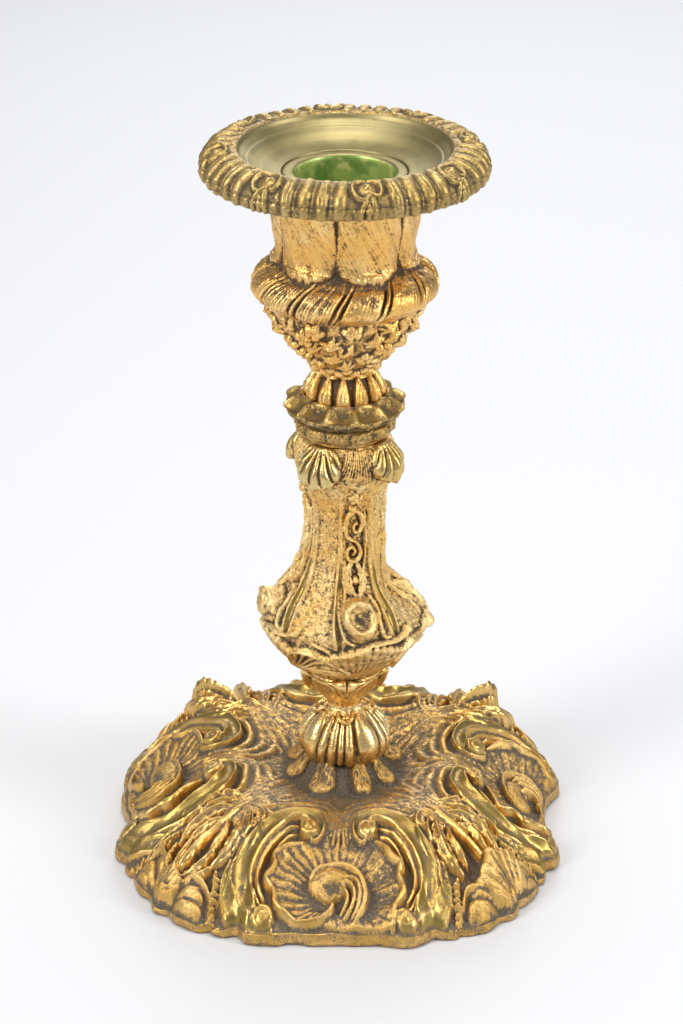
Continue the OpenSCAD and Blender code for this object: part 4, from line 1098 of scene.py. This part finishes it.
        # leaves of the neck
        g1, g2 = grain(rel.h.shape, 9, 16, 19), grain(rel.h.shape, 3, 5, 20)
        for n in range(6):
            V = at(60 * n + 23)
            near = np.nonzero((np.abs(V.u) < 8.9) & (V.v > sz(154.4)))[0]
            u, v = V.u[near], V.v[near] - sz(154.9)
            L = s[-1] - sz(154.9)
            toe = 1 - (np.clip((5.6 - v) / 5.6, 0, 1)) ** 1.9 * 0.80
            ww = 8.15 * toe * (1 + 0.02 * v / L)
            qq = np.clip(1 - (np.abs(u) / ww) ** 3.0, 0, 1)
            frill = 0.4 * np.sin(u * 2.7 + n) + 0.15 * np.sin(u * 6.1)
            f = (1.75 + 0.5 * np.exp(-((v - (sz(156.5) - sz(154.9))) / 1.5) ** 2)) * qq ** 0.5 * sm(-0.1, 1.6, v - 0.35 * frill)
            slant = u * 0.9 + v * 0.42
            folds = 0.24 * np.sin(slant * 1.15 + n * 1.3 + 0.5 * np.sin(v * 0.35)) + 0.07 * np.sin(slant * 3.1 + n + 0.8 * np.sin(v * 0.5))
            hair = 0.05 * np.sin(slant * 8.2 + 1.5 * np.sin(v * 0.6 + n)) + 0.05 * np.sin(slant * 14 + n)
            V.put(near, f + (folds * 0.8 + hair) * (qq > 0.05), "max")
        neck = sm(155.4, 156.5, Z)
        rel.h += (0.09 * g1 + 0.04 * g2) * neck
        rel.h -= 0.25 * np.exp(-((Z - 154.6) / 0.4) ** 2)
        # painted shade: a dark spot in the gap where two leaves part in front
        for n in range(6):
            V = at(60 * n - 7)
            V.patina_and_shade_spot((0, sz(157.3)), 1.25, 2.2, 0.9)
        rel.h[:, :] = blur(rel.h, 0.6, 0.6)
        zc = np.broadcast_to(seg[:, 1][None, :], rel.h.shape)
        rel.h *= 1 - 0.28 * sm(140.5, 133.5, zc) * sm(130.5, 132.5, zc)
        rel.h[:] = np.where(zc > 152, np.maximum(rel.h, 13.8 - seg[:, 0][None, :]), rel.h)
        rel.patina_and_shade += 0.075 * sm(143.5, 146.0, zc) * sm(157.5, 154.0, zc)

    ob = lathe("cup_casting", rows, (2, 2 + len(outer)), nu, shape, matt_amp=0.05, seed=8, cavk=(1.1, 0.42))
    ob.data.materials.append(m_red)
    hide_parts("candle_cup")
    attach(ob, "stick")


# ------------------------------------------------------------------ drip pan
def make_pan():
    rim = resample([(31.2, 177.45), (32.6, 177.3), (33.4, 178.0), (33.6, 179.4), (33.3, 180.9), (32.0, 182.6), (29.8, 183.9), (27.6, 184.5), (26.2, 184.5), (25.5, 184.2)], 96)
    dish = [(25.2, 183.7), (25.0, 183.2), (24.7, 182.9), (24.4, 182.7), (24.1, 182.45), (23.7, 182.2), (23.4, 181.9), (23.2, 181.75), (23.0, 181.75), (22.7, 181.5), (22.0, 180.95), (21.0, 180.25),
            (20.0, 179.7), (19.0, 179.25), (18.0, 178.9), (17.0, 178.62), (16.2, 178.45), (15.5, 178.32), (15.15, 178.25), (15.03, 178.1), (15.0, 177.6), (15.0, 177.02), (14.0, 177.0), (13.15, 177.0), (13.15, 176.3), (13.25, 176.06)]
    under = [(15, 176.05), (17, 176.05), (18.6, 176.3), (21.4, 176.8), (25, 177.3), (28.5, 177.6), (30.2, 177.65)]
    rows = under + [tuple(p) for p in rim] + dish
    nu = 840

    def shape(rel, th, seg, s):
        r = seg[:, 0]
        S = np.broadcast_to(s[None, :], rel.h.shape)
        L = s[-1]

        def at(p):
            return rel.view(wrapa(th - rad(-90 + p))[:, None] * r[None, :], S)

        jit = np.random.default_rng(33)
        rel.rough[:] = 0.25
        # ribs between the motifs
        for n in range(8):
            p0 = 9 + 44.2 * n if n < 8 else 0
            p0 = 9 + 45 * n + 1.0 * jit.normal()
            V = at(p0)
            # curled motif: two facing C-scrolls round a cabochon
            V.dome((0, 9.4), 2.3, 2.5, 0, 1.15, p=0.6)
            V.ridge([(-0.4, 12.2), (-2.6, 11.6), (-3.4, 9.4), (-2.5, 7.3), (-0.6, 6.9), (0.3, 8.2)], [0.5, 0.7, 0.75, 0.7, 0.55, 0.4], [1.0, 1.5, 1.6, 1.5, 1.3, 1.0])
            V.ridge([(0.6, 12.3), (2.5, 11.4), (3.2, 9.2), (2.5, 7.6), (1.3, 8.3)], [0.45, 0.65, 0.7, 0.6, 0.4], [1.0, 1.5, 1.6, 1.4, 1.0])
            V.dome((0.2, 9.8), 1.1, 1.0, 20, 1.7, p=0.5)
            V.ridge([(-0.6, 6.6), (-1.6, 4.6), (-1.9, 2.2)], [0.7, 0.7, 0.4], [1.3, 1.2, 0.6])
            V.ridge([(1.0, 6.8), (1.4, 4.6), (1.5, 2.2)], [0.8, 0.8, 0.4], [1.4, 1.2, 0.6])
            V.leaf([(0, 6.4), (0, 4.4), (-0.1, 2.4)], [0.6, 1.0, 0.5], [1.0, 1.4, 0.8], lobes=2)
            # gadroon ribs on the way to the next motif
            for k in range(4):
                W = at(p0 + 11.4 + 7.4 * k)
                sl = 0.5 * (k - 1.5)
                W.ridge([(sl * 0.8, 13.0), (sl * 0.3, 10.5), (0, 8.0), (-sl * 0.3, 5.2), (-sl * 0.4, 3.0)], [0.9, 1.5, 1.7, 1.55, 1.1], [0.5, 1.3, 1.6, 1.4, 0.7], p=0.5)
                if k % 2 == 0:
                    W.ridge([(sl * 0.3, 11.2), (0.1, 8.0), (-sl * 0.3, 5.0)], [0.2, 0.35, 0.2], [0.3, 0.55, 0.3], mode="sub", p=0.8)
                if k < 3:
                    W2 = at(p0 + 11.4 + 7.4 * (k + 0.5))
                    W2.ridge([(0, 12.2), (0, 8.0), (0, 4.2)], [0.25, 0.35, 0.3], [0.4, 0.7, 0.5], p=0.7)
        # short ribs round the edge
        edge = np.exp(-((S - 3.2) / 1.7) ** 4)
        ph = th[:, None] * 74 + 0.8 * np.sin(th * 9)[:, None]
        rel.h += edge * (0.38 * np.abs(np.sin(ph / 2)) ** 0.7 - 0.2)
        rel.h -= 0.25 * np.exp(-((S - 4.9) / 0.35) ** 2)
        rel.h += 0.08 * grain(rel.h.shape, 6, 5, 44)
        rel.h *= sm(L, L - 1.6, S) * 0.85
        rel.h[:] = blur(rel.h, 0.6, 0.5)

    ob = lathe("drip_pan_casting", rows, (len(under), len(under) + len(rim)), nu, shape, matt_amp=0.05, seed=9)
    me = ob.data
    me.materials.append(m_pale)
    me.materials.append(m_turned)
    nj = len(rows)
    # polygons are laid down row by row of the profile: index = i * nj + j
    mi = np.zeros((nu, nj), np.int32)
    mi[:, len(under) + len(rim) - 1:] = 1
    me.polygons.foreach_set("material_index", mi.reshape(-1))
    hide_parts("drip_pan")
    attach(ob, "pan")


# ------------------------------------------------------------------ loose nozzle
def make_nozzle():
    zc = 151.2
    pts = [(0.4, 150.0), (12.2, 150.0), (12.9, 150.15), (13.1, 150.6), (13.1, 160), (13.1, 170), (13.1, 176.9), (13.2, 177.05), (14.0, 177.06), (14.75, 177.06), (14.9, 177.2), (14.9, 177.75), (14.8, 177.95), (14.6, 178.08), (14.2, 178.16), (13.6, 178.2),
           (13.0, 178.2), (12.6, 178.12), (12.35, 177.95), (12.15, 177.7), (12.02, 177.3), (12.0, 176.6), (12.0, 174), (12.0, 170), (12.0, 165), (12.0, 160), (12.0, 155), (12.0, 152.2), (11.8, 151.5), (11.3, 151.22), (8, 151.2), (0.4, 151.2)]
    nu = 200
    th = np.arange(nu) / nu * TAU
    R = np.array(pts)
    P = np.stack([R[None, :, 0] * np.cos(th)[:, None], R[None, :, 0] * np.sin(th)[:, None], np.broadcast_to(R[None, :, 1], (nu, len(R)))], -1)
    z = P[:, :, 2]
    g = blur(np.random.default_rng(5).normal(size=z.shape), 3, 0)
    bore = (R[None, :, 0] < 12.3) & (R[None, :, 1] < 178.05) & (R[None, :, 1] > 151)
    C = np.full(z.shape, 0.45)
    T = np.broadcast_to(bore, z.shape).astype(float)
    ob = build("nozzle_tube", P, {"cav": C, "tone": T, "matt": np.zeros(z.shape)}, wrap_j=True)
    ob.data.materials.append(m_turned)
    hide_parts("candle_nozzle")
    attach(ob, "nozzle")


def turned_material():
    """Turned brass: fine rings about the axis, grey-green tarnish, verdigris in the bore."""
    m = bpy.data.materials.new("turned_brass")
    m.use_nodes = True
    nt = m.node_tree
    n, l = nt.nodes, nt.links
    bs = n["Principled BSDF"]
    co = n.new("ShaderNodeTexCoord").outputs["Object"]
    sep = n.new("ShaderNodeSeparateXYZ")
    l.new(co, sep.inputs[0])
    flat = n.new("ShaderNodeCombineXYZ")
    l.new(sep.outputs[0], flat.inputs[0])
    l.new(sep.outputs[1], flat.inputs[1])
    ln = n.new("ShaderNodeVectorMath")
    ln.operation = "LENGTH"
    l.new(flat.outputs[0], ln.inputs[0])
    rz = n.new("ShaderNodeCombineXYZ")
    l.new(ln.outputs["Value"], rz.inputs[0])
    l.new(sep.outputs[2], rz.inputs[1])

    def noise(vec, scale, detail=3.0, rough=0.55):
        x = n.new("ShaderNodeTexNoise")
        l.new(vec, x.inputs["Vector"])
        x.inputs["Scale"].default_value = scale
        x.inputs["Detail"].default_value = detail
        x.inputs["Roughness"].default_value = rough
        return x.outputs["Fac"]

    def rng_(f, a, b, c=0.0, d=1.0):
        x = n.new("ShaderNodeMapRange")
        x.interpolation_type = "SMOOTHSTEP"
        l.new(f, x.inputs["Value"])
        for k, v in (("From Min", a), ("From Max", b), ("To Min", c), ("To Max", d)):
            x.inputs[k].default_value = v
        return x.outputs["Result"]

    def mul(a, b, op="MULTIPLY"):
        x = n.new("ShaderNodeMath")
        x.operation = op
        for i, v in enumerate((a, b)):
            if isinstance(v, (int, float)):
                x.inputs[i].default_value = v
            else:
                l.new(v, x.inputs[i])
        return x.outputs[0]

    def mix(f, a, b):
        x = n.new("ShaderNodeMix")
        x.data_type = "RGBA"
        l.new(f, x.inputs[0])
        for i, v in ((6, a), (7, b)):
            if isinstance(v, tuple):
                x.inputs[i].default_value = (*v, 1)
            else:
                l.new(v, x.inputs[i])
        return x.outputs[2]

    bore = n.new("ShaderNodeAttribute")
    bore.attribute_name = "tone"
    bore = bore.outputs["Fac"]
    rings = noise(rz.outputs[0], 2600, 3.0, 0.6)
    rings2 = noise(rz.outputs[0], 600, 2.0, 0.5)
    cloud = noise(co, 140, 4.0, 0.6)
    grit = noise(co, 1800, 3.0, 0.6)
    base = mix(rng_(cloud, 0.35, 0.68), (0.27, 0.225, 0.10), (0.36, 0.30, 0.14))
    base = mix(mul(rng_(rings2, 0.42, 0.62), 0.45), base, (0.42, 0.34, 0.15))
    base = mix(mul(rng_(grit, 0.60, 0.72), 0.35), base, (0.20, 0.16, 0.10))
    verd = mix(rng_(cloud, 0.42, 0.60), (0.24, 0.38, 0.10), (0.56, 0.66, 0.22))
    verd = mix(rng_(noise(co, 300, 3.0), 0.52, 0.68), verd, (0.85, 0.80, 0.38))
    col = mix(bore, base, verd)
    l.new(col, bs.inputs["Base Color"])
    l.new(mul(mul(rng_(grit, 0.60, 0.75, 1.0, 0.55), mul(bore, 0.25), "SUBTRACT"), 1.0), bs.inputs["Metallic"])
    r = mul(mul(rings, 0.24), 0.34, "ADD")
    l.new(r, bs.inputs["Roughness"])
    bp = n.new("ShaderNodeBump")
    bp.inputs["Strength"].default_value = 0.5
    bp.inputs["Distance"].default_value = 0.00006
    l.new(mul(rings, mul(grit, 0.35), "ADD"), bp.inputs["Height"])
    l.new(bp.outputs["Normal"], bs.inputs["Normal"])
    return m


def iron_material():
    m = bpy.data.materials.new("oiled_iron")
    m.use_nodes = True
    nt = m.node_tree
    n, l = nt.nodes, nt.links
    bs = n["Principled BSDF"]
    co = n.new("ShaderNodeTexCoord").outputs["Object"]
    a, b = n.new("ShaderNodeTexNoise"), n.new("ShaderNodeTexNoise")
    for x, s in ((a, 260), (b, 1500)):
        l.new(co, x.inputs["Vector"])
        x.inputs["Scale"].default_value = s
        x.inputs["Detail"].default_value = 4
    mp = n.new("ShaderNodeMapRange")
    l.new(a.outputs["Fac"], mp.inputs["Value"])
    mp.inputs["From Min"].default_value, mp.inputs["From Max"].default_value = 0.42, 0.62
    mx = n.new("ShaderNodeMix")
    mx.data_type = "RGBA"
    l.new(mp.outputs["Result"], mx.inputs[0])
    mx.inputs[6].default_value = (0.16, 0.145, 0.13, 1)
    mx.inputs[7].default_value = (0.22, 0.12, 0.065, 1)
    l.new(mx.outputs[2], bs.inputs["Base Color"])
    inv = n.new("ShaderNodeMapRange")
    l.new(a.outputs["Fac"], inv.inputs["Value"])
    inv.inputs["From Min"].default_value, inv.inputs["From Max"].default_value = 0.42, 0.66
    inv.inputs["To Min"].default_value, inv.inputs["To Max"].default_value = 0.9, 0.25
    l.new(inv.outputs["Result"], bs.inputs["Metallic"])
    rg = n.new("ShaderNodeMapRange")
    l.new(b.outputs["Fac"], rg.inputs["Value"])
    rg.inputs["To Min"].default_value, rg.inputs["To Max"].default_value = 0.35, 0.7
    l.new(rg.outputs["Result"], bs.inputs["Roughness"])
    bp = n.new("ShaderNodeBump")
    bp.inputs["Strength"].default_value = 0.4
    bp.inputs["Distance"].default_value = 0.0001
    l.new(b.outputs["Fac"], bp.inputs["Height"])
    l.new(bp.outputs["Normal"], bs.inputs["Normal"])
    return m


m_turned = turned_material()
m_iron = iron_material()
m_pale2 = gilt_material("pale_brass_collar", (0.56, 0.38, 0.13), (0.70, 0.50, 0.20), (0.06, 0.045, 0.028), (0.17, 0.125, 0.07), polish=(0.36, 0.245, 0.06), lo=0.42, hi=0.74, rough=0.42, spots=0.5)

make_stem_foot()
make_stem()
make_collar()
make_cup()
make_pan()
make_nozzle()
for node_name in ("tie_rod", "cup_nut", "base_washer", "base_nut"):
    ob = bpy.data.objects.get(node_name)
    if ob is not None:
        ob.data.materials.clear()
        ob.data.materials.append(m_iron)


bpy.context.view_layer.update()
